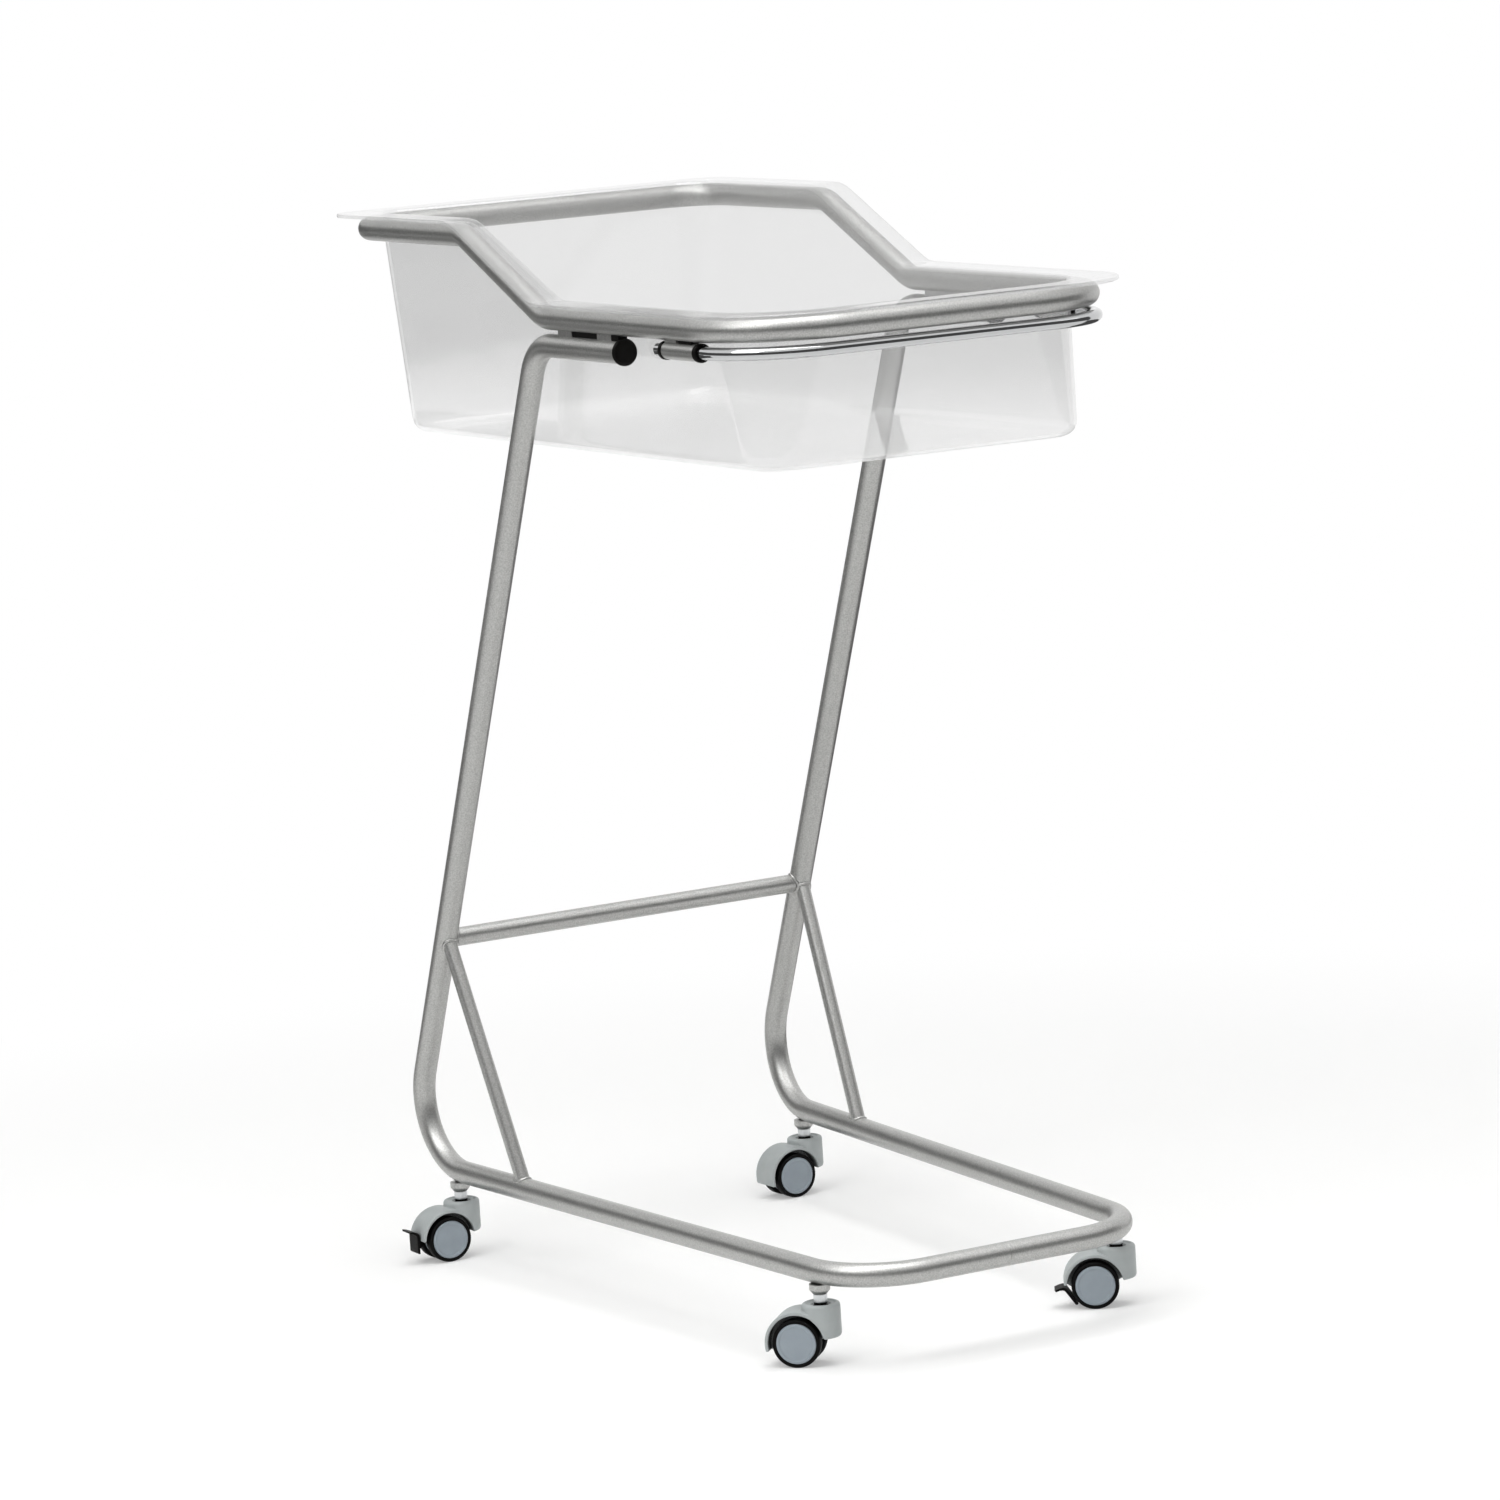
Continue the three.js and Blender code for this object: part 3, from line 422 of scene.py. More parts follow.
# slotted spacer between each stub and the ring
spacer = {"startX": 18, "endX": 118, "slotStartX": 44, "slotEndX": 92, "width": 9, "web": 3}
for name, sign in sides.items():
    bm = bmesh.new()
    out, back, mouth = sign * spacer["width"] / 2, -sign * spacer["width"] / 2, sign * (spacer["web"] - spacer["width"] / 2)
    plan = [(spacer["startX"], back), (spacer["endX"], back), (spacer["endX"], out), (spacer["slotEndX"], out),
            (spacer["slotEndX"], mouth), (spacer["slotStartX"], mouth), (spacer["slotStartX"], out), (spacer["startX"], out)]
    base, top = stand["stubHeight"] + 9.6, ring["low"] - 9.6
    floorLoop = [bm.verts.new((x, y + sign * w, base)) for x, y in plan]
    roofLoop = [bm.verts.new((x, y + sign * w, top)) for x, y in plan]
    joinRings(bm, [floorLoop, roofLoop])
    bm.faces.new(list(reversed(floorLoop)))
    bm.faces.new(roofLoop)
    roundEdges(bm, 0.5, 2)
    fit(shaped(bm, f"ringSpacer.{name}", toFrame), "frame", "silver_paint", f"ring_spacer_{name}")
print("ring done")


# black blocks under the ring, in the spacer's slot, over the stub's end and on the rail's sleeve: painted shade that
# makes these gaps read dark
shadeBlocks = {"slot": {"startX": 44.4, "endX": 91.6, "low": 912.8, "high": 918.7, "width": 5.2, "out": 1.3},
        "stub": {"startX": 118.6, "endX": 131.8, "low": 912.6, "high": 918.9, "width": 9, "out": 0},
        "sleeve": {"startX": 240, "endX": 263, "low": 915.7, "high": 918.7, "width": 8, "out": 0}}
for name, sign in sides.items():
    for place, pad in shadeBlocks.items():
        # painted shade: a black block where the gap under the ring is in shadow
        bm = bmesh.new()
        slab(bm, [(pad["startX"], pad["low"]), (pad["endX"], pad["low"]), (pad["endX"], pad["high"]), (pad["startX"], pad["high"])],
             pad["width"])
        roundEdges(bm, 0.5, 2)
        bm.transform(Matrix.Translation((0, sign * (w + pad["out"]), 0)))
        fit(shaped(bm, f"{place}ShadeBlock.{name}", toFrame), "frame", "black_plastic")


# foot rail in two sleeves

rail = {"rod": 6, "drop": 20, "endX": 196, "footX": 357, "bend": 75, "sleeveX": 214, "sleeveLength": 56, "sleeve": 8,
        "bore": 7, "padLength": 22, "padWidth": 8, "flange": 8.6, "flangeWidth": 5, "bushBore": 6.3, "spigot": 12}
railZ = ring["low"] - rail["drop"]

bm = bmesh.new()
corners = [(rail["endX"], -w, railZ), (rail["footX"], -w, railZ), (rail["footX"], w, railZ), (rail["endX"], w, railZ)]
sweep(bm, bentPath(corners, [rail["bend"]] * 2, 4), rail["rod"], 32, edge=1.2)
fit(shaped(bm, "footRail", toFrame), "frame", "chrome_rail", "foot_rail")

lying = Matrix.Rotation(math.pi / 2, 4, "Y")
for name, sign in sides.items():
    bm = bmesh.new()
    r, b, length = rail["sleeve"], rail["bore"], rail["sleeveLength"]
    turn(bm, [(b, 0.4), (b + 0.3, 0), (r - 0.5, 0), (r, 0.5), (r, length - 0.5), (r - 0.5, length), (b + 0.3, length), (b, length - 0.4)])
    bm.transform(Matrix.Translation((rail["sleeveX"], sign * w, railZ)) @ lying)
    pad = bmesh.new()
    half = rail["padWidth"] / 2
    slab(pad, [(rail["sleeveX"] + 1, railZ + b + 0.4), (rail["sleeveX"] + rail["padLength"], railZ + b + 0.4),
               (rail["sleeveX"] + rail["padLength"], ring["low"] - 9.8), (rail["sleeveX"] + 1, ring["low"] - 9.8)], 2 * half)
    roundEdges(pad, 0.6, 2)
    pad.transform(Matrix.Translation((0, sign * w, 0)))
    padMesh = bpy.data.meshes.new("pad")
    pad.to_mesh(padMesh)
    pad.free()
    bm.from_mesh(padMesh)
    fit(shaped(bm, f"railSleeve.{name}", toFrame), "frame", "silver_paint", f"rail_sleeve_{name}")
    for end, x, way in (("head", rail["sleeveX"], -1), ("foot", rail["sleeveX"] + length, 1)):
        bm = bmesh.new()
        g, f, t = rail["bushBore"], rail["flange"], rail["flangeWidth"]
        turn(bm, [(g, -rail["spigot"]), (b - 0.3, -rail["spigot"]), (b - 0.3, 0.3), (f - 0.3, 0.3), (f, 0.6), (f, t - 0.4),
                  (f - 0.3, t), (f - 0.9, t + 0.3), (g, t + 0.3)])
        seat = Matrix.Translation((x, sign * w, railZ)) @ Matrix.Rotation(math.pi / 2 * way, 4, "Y")
        fit(shaped(bm, f"railBush.{name}.{end}", toFrame @ seat), "frame", "black_plastic", f"rail_bush_{name}_{end}")
print("rail done")


# tub: one shell from the outside of its floor, over the rim and back to the inside of its floor

tub = {"wall": 3, "bottom": 801.5, "draft": 0.062, "footDraft": 0.13, "ringGap": 2, "floorRadius": 14,
       "headCorner": 32, "footCorner": 38, "footCornerTop": 80, "rim": 3.5, "overhang": 8, "rimHeadCorner": 30,
       "rimFootCorner": 88, "topRound": 7, "seat": 0.3}


# rim height over the floor at x, offset squarely from the ring's centre line
def rimCurve(offset):
    past = 80
    corners = [(ring["headX"] - past, 0, high), (ring["slopeHeadX"], 0, high), (ring["slopeFootX"], 0, low), (ring["footX"] + past, 0, low)]
    line = [(p.x - h.z * offset, p.z + h.x * offset) for p, h in bentPath(corners, [ring["slopeBend"]] * 2, 2)]

    def heightAt(x):
        for (x0, z0), (x1, z1) in zip(line, line[1:]):
            if x <= x1:
                return z0 + (z1 - z0) * (x - x0) / (x1 - x0)
        return line[-1][1]
    return heightAt


# rounded rectangle as points going round, the same count for every level
def plan(headX, footX, half, headCorner, footCorner, arcSteps=12, sideSteps=56, endSteps=14):
    spots = [(footX - footCorner, half - footCorner, footCorner, 0), (headX + headCorner, half - headCorner, headCorner, 90),
             (headX + headCorner, headCorner - half, headCorner, 180), (footX - footCorner, footCorner - half, footCorner, 270)]
    points = []
    for i, (x, y, r, start) in enumerate(spots):
        arc = [(x + r * math.cos(math.radians(start + 90 * k / arcSteps)), y + r * math.sin(math.radians(start + 90 * k / arcSteps)))
               for k in range(arcSteps + 1)]
        points += arc
        nx, ny, nr, nstart = spots[(i + 1) % 4]
        nextStart = (nx + nr * math.cos(math.radians(nstart)), ny + nr * math.sin(math.radians(nstart)))
        count = sideSteps if i % 2 == 0 else endSteps
        for k in range(1, count):
            points.append((arc[-1][0] + (nextStart[0] - arc[-1][0]) * k / count, arc[-1][1] + (nextStart[1] - arc[-1][1]) * k / count))
    return points


# outside of the tub at a height: clear of the ring at the top and drawn in by the draft below it
def tubPlan(height, inset):
    share = min((height - tub["bottom"]) / (low - tub["bottom"]), 1)
    edge = stand["tube"] + tub["ringGap"]
    lean = (high - height) * tub["draft"] + inset
    footLean = (low - height) * tub["footDraft"] + inset
    footCorner = tub["footCorner"] + (tub["footCornerTop"] - tub["footCorner"]) * share
    return plan(ring["headX"] + edge + lean, ring["footX"] - edge - footLean, stand["halfWidth"] - edge - lean,
                max(tub["headCorner"] - inset, 3), max(footCorner - inset, 3))


bm = bmesh.new()
underRim, overRim = rimCurve(stand["tube"] + tub["seat"]), rimCurve(stand["tube"] + tub["seat"] + tub["rim"])
reach = stand["tube"] + tub["overhang"]
rimOut = plan(ring["headX"] - reach, ring["footX"] + reach, stand["halfWidth"] + reach, tub["rimHeadCorner"], tub["rimFootCorner"])
count = len(rimOut)
planCache = {}


def levelPlan(height, inset):
    key = (round(height, 1), round(inset, 2))
    if key not in planCache:
        planCache[key] = tubPlan(key[0], key[1])
    return planCache[key]


# wall foot: floor ring and the rounded floor edge
def floorRings(inset):
    floor, radius = tub["bottom"] + inset, tub["floorRadius"] - inset
    rings = []
    for angle in range(0, 91, 10):
        height = floor + radius * (1 - math.cos(math.radians(angle)))
        points = levelPlan(height, inset + radius * (1 - math.sin(math.radians(angle))))
        rings.append([(x, y, height) for x, y in points])
    return rings


# wall from the floor edge up to a rounded turn into the rim; out is where the turn ends on the rim
def wallRings(inset, turnRadius, rimAt):
    start = tub["bottom"] + tub["floorRadius"]
    topPlan = levelPlan(high, inset)
    lowPlan = levelPlan(low, inset)
    rings = []
    for share in [0.1 * k for k in range(1, 11)]:
        level = []
        for i in range(count):
            x = lowPlan[i][0] + (topPlan[i][0] - lowPlan[i][0]) * 0.5
            end = rimAt(x) - turnRadius
            height = start + (end - start) * share
            level.append((*levelPlan(height, inset)[i], height))
        rings.append(level)
    for angle in range(15, 91, 15):
        level = []
        for i in range(count):
            x, y, z = rings[9][i]
            ox, oy = rimOut[i][0] - x, rimOut[i][1] - y
            size = math.hypot(ox, oy)
            out = turnRadius * (1 - math.cos(math.radians(angle)))
            px, py = x + ox / size * out, y + oy / size * out
            height = rimAt(px) - turnRadius * (1 - math.sin(math.radians(angle)))
            level.append((px, py, height))
        rings.append(level)
    return rings


def rimRings(inner, rimAt, shares):
    rings = []
    for share in shares:
        level = []
        for i in range(count):
            px = inner[i][0] + (rimOut[i][0] - inner[i][0]) * share
            py = inner[i][1] + (rimOut[i][1] - inner[i][1]) * share
            level.append((px, py, rimAt(px)))
        rings.append(level)
    return rings


outerFloor, innerFloor = floorRings(0), floorRings(tub["wall"])
outerWall = wallRings(0, tub["topRound"] - tub["wall"], underRim)
innerWall = wallRings(tub["wall"], tub["topRound"], overRim)
under = rimRings(outerWall[-1], underRim, (0.25, 0.5, 0.75, 0.94, 0.985))
over = rimRings(innerWall[-1], overRim, (0.25, 0.5, 0.75, 0.94, 0.985))
edge = [[(x, y, underRim(x) + (overRim(x) - underRim(x)) * share) for x, y in rimOut] for share in (0.25, 0.5, 0.75)]


def floorFill(ringPoints):
    midX = sum(p[0] for p in ringPoints) / count
    return [[(midX + (x - midX) * share, y * share, z) for x, y, z in ringPoints] for share in (0.08, 0.35, 0.7, 0.92)]


outside = floorFill(outerFloor[0]) + outerFloor + outerWall + under + edge
inside = floorFill(innerFloor[0]) + innerFloor + innerWall + over
levels = outside + list(reversed(inside))
rings = [[bm.verts.new(point) for point in level] for level in levels]
joinRings(bm, rings)
bm.faces.new(list(reversed(rings[0])))
bm.faces.new(rings[-1])
tubPiece = fit(shaped(bm, "clearTub", toFrame, 60), "tub", "clear_plastic", "tub")
print("tub done", len(tubPiece.data.vertices))


# casters

caster = {"socket": 9.5, "socketBottom": 65, "socketTop": 73.8, "stemCollar": 6.25, "thread": 5, "pin": 4,
          "turretTop": 57, "turret": 17.5, "turretBottom": 25.5, "trail": 21, "wheel": 22, "wheelWidth": 11, "hub": 18.4,
          "web": 8, "sideGap": 1, "hoodGap": 4, "hoodThickness": 3, "hoodTail": -15, "brakedTail": 3.5, "hoodFront": 170, "stemDepth": 11,
          "bore": 6.4, "dish": 13.5}
turns = {"head_left": -92, "head_right": -88, "foot_left": -134, "foot_right": -122}


def solidFrom(bm, name):
    bmesh.ops.recalc_face_normals(bm, faces=bm.faces)
    mesh = bpy.data.meshes.new(name)
    bm.to_mesh(mesh)
    bm.free()
    piece = bpy.data.objects.new(name, mesh)
    bpy.context.scene.collection.objects.link(piece)
    return piece


def combined(body, steps):
    for operation, tool in steps:
        change = body.modifiers.new(operation, "BOOLEAN")
        change.operation, change.object, change.solver = operation, tool, "EXACT"
    bpy.context.view_layer.update()
    mesh = bpy.data.meshes.new_from_object(body.evaluated_get(bpy.context.evaluated_depsgraph_get()))
    for piece in [body] + [tool for operation, tool in steps]:
        bpy.data.objects.remove(piece)
    return mesh


def upright(radius, low, high, sides=96):
    bm = bmesh.new()
    turn(bm, [(0, low), (radius, low), (radius, high), (0, high)], sides)
    return bm


def acrossAxle(radius, start, end, sides=120):
    bm = upright(radius, start, end, sides)
    bm.transform(Matrix.Translation((caster["trail"], 0, caster["wheel"])) @ Matrix.Rotation(-math.pi / 2, 4, "X"))
    return bm


# brake pedal: a bent plate behind the hood on an arm between the wheels, with a tab for the shoe
pedal = {"pivotU": 33, "pivotZ": 30, "inner": 51.2, "thickness": 2.5, "low": 11.5, "high": 31.5, "width": 18, "arm": 3.6,
         "eye": 4.5, "pressed": 35}


# moulded hood: turret, shell over the wheels and plate between them, joined with soft edges
def hoodMesh(braked):
    inner = caster["wheel"] + caster["hoodGap"]
    outer = inner + caster["hoodThickness"]
    wide = 2 * (caster["web"] / 2 + caster["sideGap"] + caster["wheelWidth"])
    tail = math.radians(caster["brakedTail"] if braked else caster["hoodTail"])
    r, top = caster["turret"], caster["turretTop"]
    bm = bmesh.new()
    d = caster["dish"]
    low = caster["turretBottom"]
    turn(bm, [(0, low), (r - 3, low), (r - 0.9, low + 0.9), (r, low + 3), (r, top - 2.6), (r - 0.8, top - 0.9), (r - 2.6, top),
              (d, top), (d - 1, top - 1.2), (9, top - 1.4), (8.4, top - 2.6), (0, top - 2.6)], 96)
    turret = solidFrom(bm, "turret")

    def fan(radius, start, end, extra):
        angles = [start + (end - start) * k / 60 for k in range(61)]
        points = [(caster["trail"] + radius * math.cos(a), caster["wheel"] + radius * math.sin(a)) for a in angles]
        return points + extra
    centre = (caster["trail"], caster["wheel"])
    bm = bmesh.new()
    slab(bm, fan(outer, tail, math.radians(caster["hoodFront"]), [centre]), wide)
    shell = solidFrom(bm, "shell")
    bm = bmesh.new()
    heel = [(centre[0] - 6, centre[1] - 6), (centre[0] + 6, centre[1] - 9)]
    if braked:
        heel.append((pedal["pivotU"] + 4, centre[1] - 6))
    slab(bm, fan(outer - 1, tail, math.radians(caster["hoodFront"]), heel), caster["web"])
    plate = solidFrom(bm, "plate")
    reachOut = 60
    pocketA = solidFrom(acrossAxle(inner, caster["web"] / 2, reachOut), "pocketA")
    pocketB = solidFrom(acrossAxle(inner, -reachOut, -caster["web"] / 2), "pocketB")
    hole = solidFrom(upright(caster["bore"], top - caster["stemDepth"], top + 5, 48), "hole")
    steps = [("UNION", shell), ("DIFFERENCE", pocketA), ("DIFFERENCE", pocketB), ("UNION", plate), ("DIFFERENCE", hole)]
    if braked:
        bm = bmesh.new()
        back, under = pedal["pivotU"] - 5.2, centre[1] + inner * math.sin(tail)
        slab(bm, [(back, -2), (70, -2), (70, under), (46.4, under), (45.5, pedal["pivotZ"] - 2), (41, pedal["pivotZ"] + 5.2),
                  (back, pedal["pivotZ"] + 5.2)], 4.8)
        steps.append(("DIFFERENCE", solidFrom(bm, "pedalSlot")))
    mesh = combined(turret, steps)
    piece = bpy.data.objects.new("hoodDraft", mesh)
    bpy.context.scene.collection.objects.link(piece)
    soft = piece.modifiers.new("skin", "REMESH")
    soft.mode, soft.voxel_size = "VOXEL", 0.65
    calm = piece.modifiers.new("calm", "SMOOTH")
    calm.factor, calm.iterations = 0.5, 4
    thin = piece.modifiers.new("thin", "DECIMATE")
    thin.ratio = 0.35
    bpy.context.view_layer.update()
    done = bpy.data.meshes.new_from_object(piece.evaluated_get(bpy.context.evaluated_depsgraph_get()))
    bpy.data.objects.remove(piece)
    return done


hoodMeshes = {False: hoodMesh(False), True: hoodMesh(True)}
print("hood faces", [len(mesh.polygons) for mesh in hoodMeshes.values()])


def wheelProfiles():
    h, wdt, r = caster["hub"], caster["wheelWidth"], caster["wheel"]
    hub = [(0, 1), (3.4, 1), (3.4, 0), (h - 0.6, 0), (h, 0.6), (h, wdt - 0.9), (h - 0.2, wdt - 0.4), (h - 0.7, wdt - 0.05), (h - 1.3, wdt),
           (h - 2.2, wdt), (h - 2.8, wdt - 0.3), (h - 3.3, wdt - 0.8), (h - 4.2, wdt - 0.9), (h * 0.5, wdt - 0.6), (0, wdt - 0.45)]
    t = h + 0.15
    tyre = [(t, 0.6), (r - 1.8, 0.5), (r - 0.9, 0.7), (r - 0.3, 1.3), (r, 2.2), (r, wdt - 1.7), (r - 0.2, wdt - 0.9),
            (r - 0.7, wdt - 0.4), (r - 1.4, wdt - 0.2), (t + 0.5, wdt - 0.2), (t + 0.1, wdt - 0.5), (t, wdt - 0.9)]
    return hub, tyre


def pedalMesh():
    i, l, h = pedal["inner"] - pedal["pivotU"], pedal["low"] - pedal["pivotZ"], pedal["high"] - pedal["pivotZ"]
    o = i + pedal["thickness"]
    bm = bmesh.new()
    slab(bm, [(i, l), (o - 1, l), (o, l + 1), (o, h - 2.6), (o + 1.2, h - 1.2), (o + 3.4, h + 0.2), (o + 7, h + 1.2),
              (o + 7.2, h + 3.2), (o + 3, h + 2.2), (o - 0.6, h + 0.8), (i + 0.8, h - 0.4), (i, h - 1.6)], pedal["width"])
    roundEdges(bm, 0.6, 2, 50)
    arm = bmesh.new()
    r = pedal["eye"]
    eye = [(r * math.cos(math.radians(a)), r * math.sin(math.radians(a))) for a in range(-16, 261, 12)]
    slab(arm, [(i + 1, l + 0.8), (i + 1, l + 6.5)] + eye, pedal["arm"])
    armMesh = bpy.data.meshes.new("arm")
    arm.to_mesh(armMesh)
    arm.free()
    bm.from_mesh(armMesh)
    return bm


for name in ("head_left", "head_right", "foot_left", "foot_right"):
    body = f"caster_{name}"
    stemLow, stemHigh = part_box(f"caster_stem_{name}")
    swivel = Matrix.Translation(((stemLow.x + stemHigh.x) / 2, (stemLow.y + stemHigh.y) / 2, frameStep.z))
    bearing = swivel @ Matrix.Rotation(math.radians(turns[name]), 4, "Z") @ Matrix.Scale(mm, 4)
    label = name.replace("_", ".")

    bm = bmesh.new()
    r, b = caster["socket"], caster["socketBottom"]
    turn(bm, [(5.3, b), (r - 3.4, b), (r - 2.6, b + 0.3), (r - 0.5, b + 2.9), (r, b + 4.0), (r, caster["socketTop"]),
              (5.3, caster["socketTop"])])
    fit(shaped(bm, f"casterSocket.{label}", swivel @ Matrix.Scale(mm, 4)), "frame", "silver_paint", f"caster_socket_{name}")

    bm = bmesh.new()
    t = caster["turretTop"]
    turn(bm, [(0, t - 10.7), (3.4, t - 10.7), (4, t - 10.1), (4, t + 0.3), (5.8, t + 0.3), (6.25, t + 0.7), (6.25, b - 0.6),
              (5.9, b - 0.3), (5, b - 0.3), (5, 69.5), (0, 69.5)])
    fit(shaped(bm, f"casterStem.{label}", swivel @ Matrix.Scale(mm, 4)), "frame", "zinc_steel", f"caster_stem_{name}")

    braked = name in ("head_left", "foot_right")
    mesh = hoodMeshes[braked].copy()
    mesh.transform(bearing)
    mesh.shade_smooth()
    hood = bpy.data.objects.new(f"casterHood.{label}", mesh)
    bpy.context.scene.collection.objects.link(hood)
    fit(hood, body, "grey_plastic", f"caster_hood_{name}")

    hubProfile, tyreProfile = wheelProfiles()
    for wheel, side in (("a", -1), ("b", 1)):
        seat = bearing @ Matrix.Translation((caster["trail"], side * (caster["web"] / 2 + caster["sideGap"]), caster["wheel"]))
        seat = seat @ Matrix.Rotation(-side * math.pi / 2, 4, "X")
        for part, profile, slotName in (("hub", hubProfile, "hub_plastic"), ("tyre", tyreProfile, "tyre_rubber")):
            bm = bmesh.new()
            turn(bm, profile, 72)
            fit(shaped(bm, f"{part}.{label}.{wheel}", seat), f"wheel_{name}_{wheel}", slotName, f"{part}_{name}_{wheel}")

    if braked:
        seat = bearing @ Matrix.Translation((pedal["pivotU"], 0, pedal["pivotZ"]))
        press = pedal["pressed"] if name == "foot_right" else 0
        piece = shaped(pedalMesh(), f"brakePedal.{label}", seat @ Matrix.Rotation(math.radians(press), 4, "Y"))
        fit(piece, f"pedal_{name}", "black_plastic", f"brake_pedal_{name}")
print("casters done")

# small turned parts stay as packed and take the real finish
for nodeName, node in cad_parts.items():
    if node.hide_render:
        continue
    slotName = "black_plastic" if nodeName.startswith("swivel_bush") else "zinc_steel"
    node.data.materials.clear()
    node.data.materials.append(finishes[slotName])


# floor, light and camera

room = {"floor": "#fbfbfa", "floorSize": 40, "worldFill": 0.42, "clearFrom": 0.7, "clearTo": 1.7, "lift": 0.3}
centre = toFrame @ Vector((-13, -10, 0))

floorMesh = bpy.data.meshes.new("paleFloor")
half = room["floorSize"] / 2
floorMesh.from_pydata([(-half, -half, 0), (half, -half, 0), (half, half, 0), (-half, half, 0)], [], [(0, 1, 2, 3)])
floor = bpy.data.objects.new("paleFloor", floorMesh)
floor.location = (centre.x, centre.y, -0.0003)
bpy.context.scene.collection.objects.link(floor)


# camera, mirror and see-through rays take the plain white backdrop
def backdropRays(tree):
    path = addNode(tree, "ShaderNodeLightPath")
    first = addNode(tree, "ShaderNodeMath", {"operation": "MAXIMUM"},
                    {0: path.outputs["Is Camera Ray"], 1: path.outputs["Is Glossy Ray"]})
    return addNode(tree, "ShaderNodeMath", {"operation": "MAXIMUM"},
                   {0: first.outputs[0], 1: path.outputs["Is Transmission Ray"]}).outputs[0]


floorMaterial = bpy.data.materials.new("seamlessPaper")
floorMaterial.use_nodes = True
tree = floorMaterial.node_tree
tree.nodes.clear()
paper = addNode(tree, "ShaderNodeBsdfDiffuse", {"Color": hexColour(room["floor"])})
white = addNode(tree, "ShaderNodeEmission", {"Color": (1, 1, 1, 1), "Strength": 1.0})
spot = addNode(tree, "ShaderNodeTexCoord")
distance = addNode(tree, "ShaderNodeVectorMath", {"operation": "LENGTH"}, {0: spot.outputs["Object"]})
fade = addNode(tree, "ShaderNodeMapRange", {"interpolation_type": "SMOOTHSTEP", "From Min": room["clearFrom"], "From Max": room["clearTo"],
                                              "To Min": room["lift"]},
               {"Value": distance.outputs["Value"]})
share = addNode(tree, "ShaderNodeMath", {"operation": "MULTIPLY"}, {0: fade.outputs[0], 1: backdropRays(tree)})
mixed = addNode(tree, "ShaderNodeMixShader", {}, {0: share.outputs[0], 1: paper.outputs[0], 2: white.outputs[0]})
addNode(tree, "ShaderNodeOutputMaterial", {}, {"Surface": mixed.outputs[0]})
floorMesh.materials.append(floorMaterial)

world = bpy.data.worlds.new("studio")
world.use_nodes = True
tree = world.node_tree
tree.nodes.clear()
strength = addNode(tree, "ShaderNodeMapRange", {"To Min": room["worldFill"], "To Max": 1.0}, {"Value": backdropRays(tree)})
sky = addNode(tree, "ShaderNodeBackground", {"Color": (1, 1, 1, 1)}, {"Strength": strength.outputs[0]})
addNode(tree, "ShaderNodeOutputWorld", {}, {"Surface": sky.outputs[0]})
bpy.context.scene.world = world

# faintly glowing grey sheet hung round the open side of the set, with strips of it on the floor, seen only in
# reflections: a painted reflection that gives the tubes their dark band between floor and ceiling and the legs a dark
# edge, and leaves the side behind the object white
surround = {
    "shade": "#555555", "step": 5, "distance": 3.25, "floorHeight": 0.01,
    # each post gives its bearing in degrees and the height of the sheet's lower and upper edge
    "curtains": [[(-195, 0.46, 1.8), (-150, 0.46, 1.8), (-130, 0.3, 1.9), (-100, 0.2, 2.2), (30, 0.1, 2.3), (80, 0.1, 1.9)],
                 [(-195, 0.01, 0.33), (-140, 0.01, 0.33)]],
    "strips": [{"from": -170, "to": -125, "near": 1.2, "far": 3.2}, {"from": 75, "to": 135, "near": 0.9, "far": 3.1}],
}


def setSpot(degrees, distance, height):
    return (distance * math.cos(math.radians(degrees)), distance * math.sin(math.radians(degrees)), height)


bm = bmesh.new()
sheets = []
for posts in surround["curtains"]:
    hem, top = [], []
    for (start, low0, high0), (end, low1, high1) in zip(posts, posts[1:]):
        for degrees in range(start, end + 1, surround["step"]):
            share = (degrees - start) / (end - start)
            hem.append(bm.verts.new(setSpot(degrees, surround["distance"], low0 + (low1 - low0) * share)))
            top.append(bm.verts.new(setSpot(degrees, surround["distance"], high0 + (high1 - high0) * share)))
    sheets.append((hem, top))
for strip in surround["strips"]:
    bearings = range(strip["from"], strip["to"] + 1, surround["step"])
    sheets.append([[bm.verts.new(setSpot(degrees, strip[end], surround["floorHeight"])) for degrees in bearings]
                   for end in ("near", "far")])
for lower, upper in sheets:
    for i in range(len(lower) - 1):
        bm.faces.new((lower[i], lower[i + 1], upper[i + 1], upper[i]))
bmesh.ops.remove_doubles(bm, verts=bm.verts, dist=0.0001)
reflectedBand = shaped(bm, "darkSurround", Matrix.Translation((centre.x, centre.y, 0)))
for ray in ("camera", "diffuse", "transmission", "volume_scatter", "shadow"):
    setattr(reflectedBand, f"visible_{ray}", False)
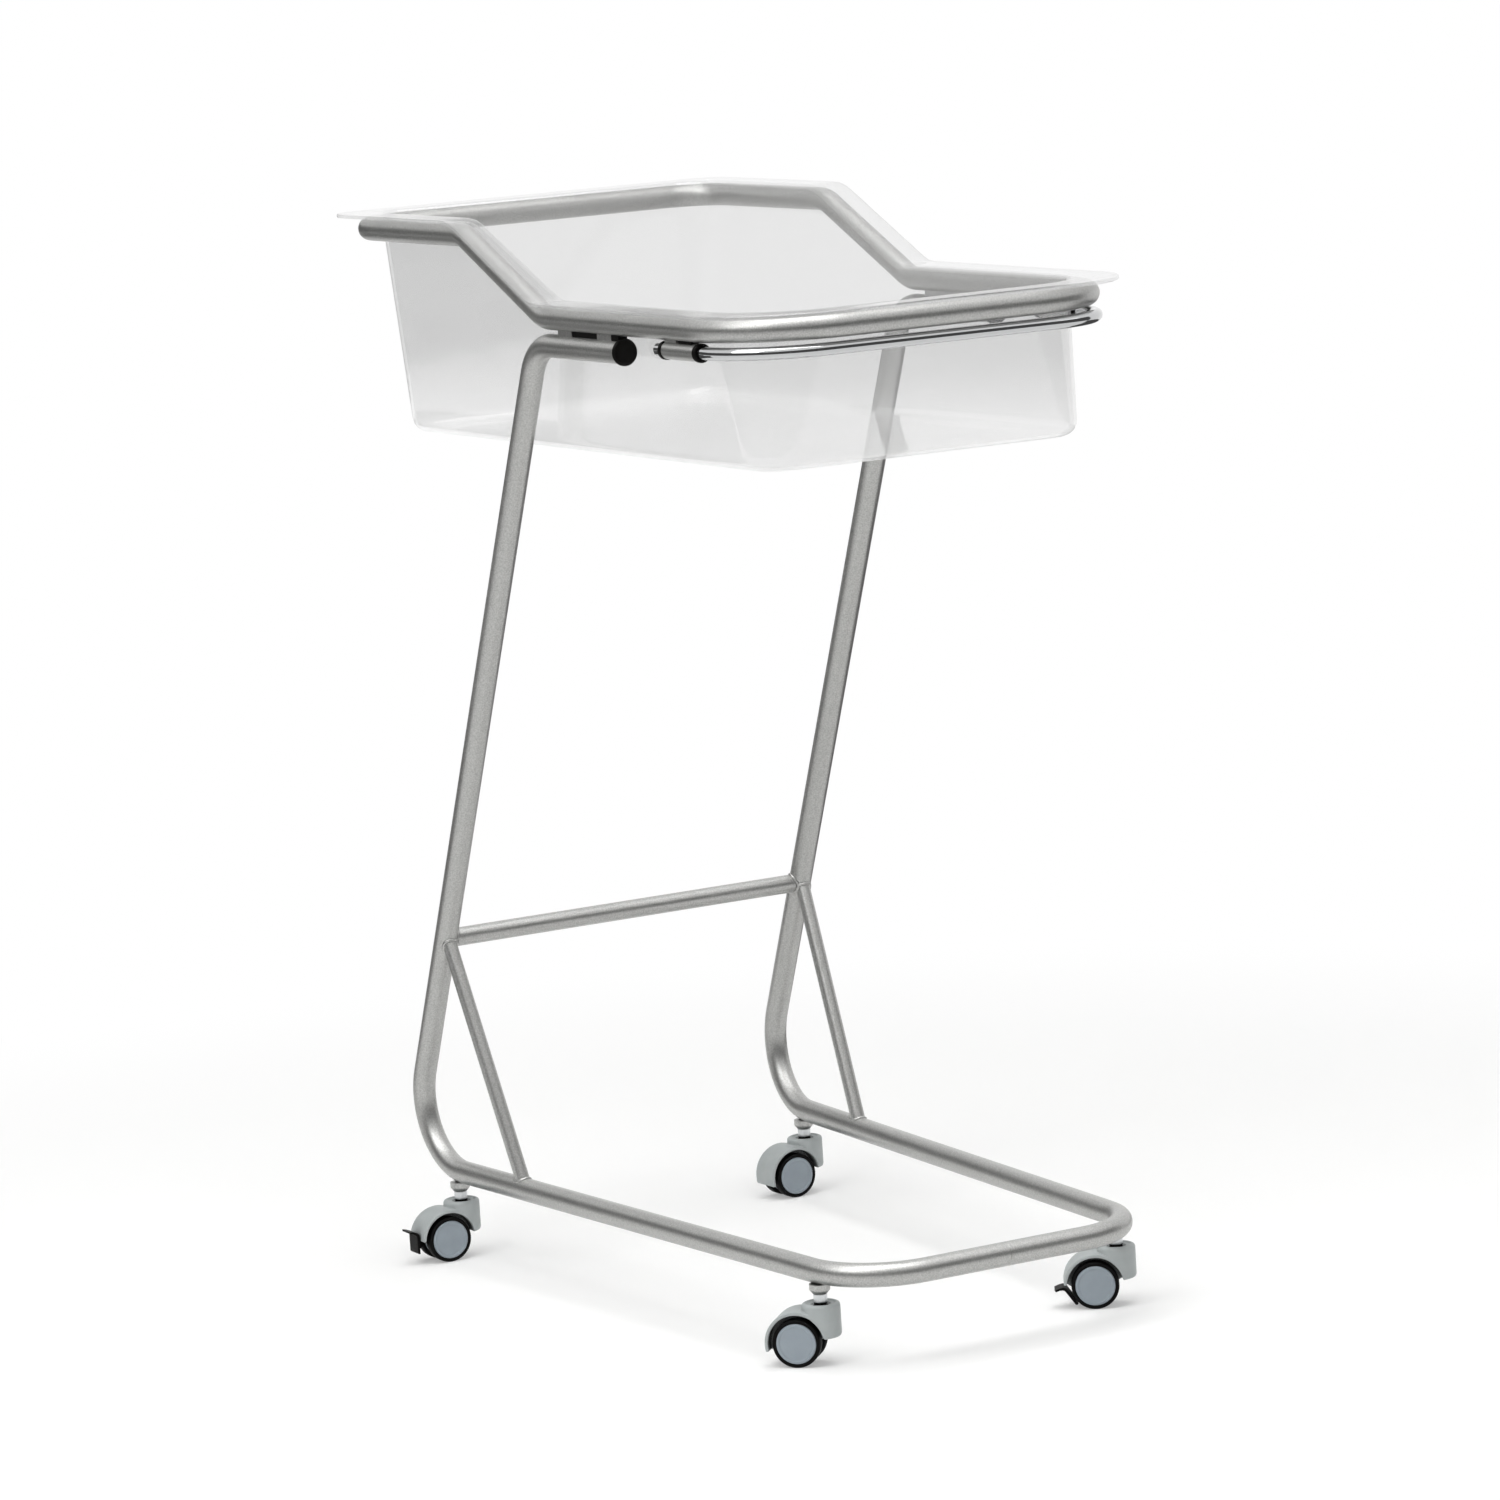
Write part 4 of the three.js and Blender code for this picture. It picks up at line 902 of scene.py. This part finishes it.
reflectedBandMaterial = bpy.data.materials.new("paintedReflectionBand")
reflectedBandMaterial.use_nodes = True
tree = reflectedBandMaterial.node_tree
tree.nodes.clear()
# painted reflection: a dim grey glow that only mirror rays see
dim = addNode(tree, "ShaderNodeEmission", {"Color": hexColour(surround["shade"]), "Strength": 1.0})
addNode(tree, "ShaderNodeOutputMaterial", {}, {"Surface": dim.outputs[0]})
reflectedBand.data.materials.append(reflectedBandMaterial)

lamps = {
    "topSoftbox": {"spot": (0.35, -0.05, 3.1), "size": 2.4, "power": 60, "aim": (0, 0, 0.5)},
    "leftSoftbox": {"spot": (0.6, -2.2, 2.9), "size": 1.8, "power": 38, "aim": (0, 0, 0.6)},
    "rightSoftbox": {"spot": (2.2, 2.6, 1.8), "size": 1.6, "power": 5, "aim": (0, 0, 0.6)},
}
for name, lamp in lamps.items():
    light = bpy.data.lights.new(name, "AREA")
    light.shape, light.size, light.energy = "SQUARE", lamp["size"], lamp["power"]
    holder = bpy.data.objects.new(name, light)
    holder.location = Vector(lamp["spot"]) + Vector((centre.x, centre.y, 0))
    aim = Vector(lamp["aim"]) + Vector((centre.x, centre.y, 0)) - holder.location
    holder.rotation_euler = aim.to_track_quat("-Z", "Y").to_euler()
    bpy.context.scene.collection.objects.link(holder)

# same standpoint as the photograph, turned to put the bassinet in the middle
shot = {"spot": (5188.5, -2960.6, 1399.7), "aim": (-13, -10, 504.5), "up": (-0.0883, 0.1223, 0.9886), "lens": 155}
cameraData = bpy.data.cameras.new("camera")
cameraData.lens, cameraData.sensor_width = shot["lens"], 36
cameraData.clip_end = 100
camera = bpy.data.objects.new("camera", cameraData)
eye, aim = toFrame @ Vector(shot["spot"]), toFrame @ Vector(shot["aim"])
ahead = (aim - eye).normalized()
rightward = ahead.cross(Vector(shot["up"])).normalized()
upward = rightward.cross(ahead)
turned = Matrix((rightward, upward, -ahead)).transposed().to_4x4()
camera.matrix_world = Matrix.Translation(eye) @ turned
bpy.context.scene.collection.objects.link(camera)
bpy.context.scene.camera = camera
bpy.context.scene.view_settings.view_transform = "Standard"

print("scene done")
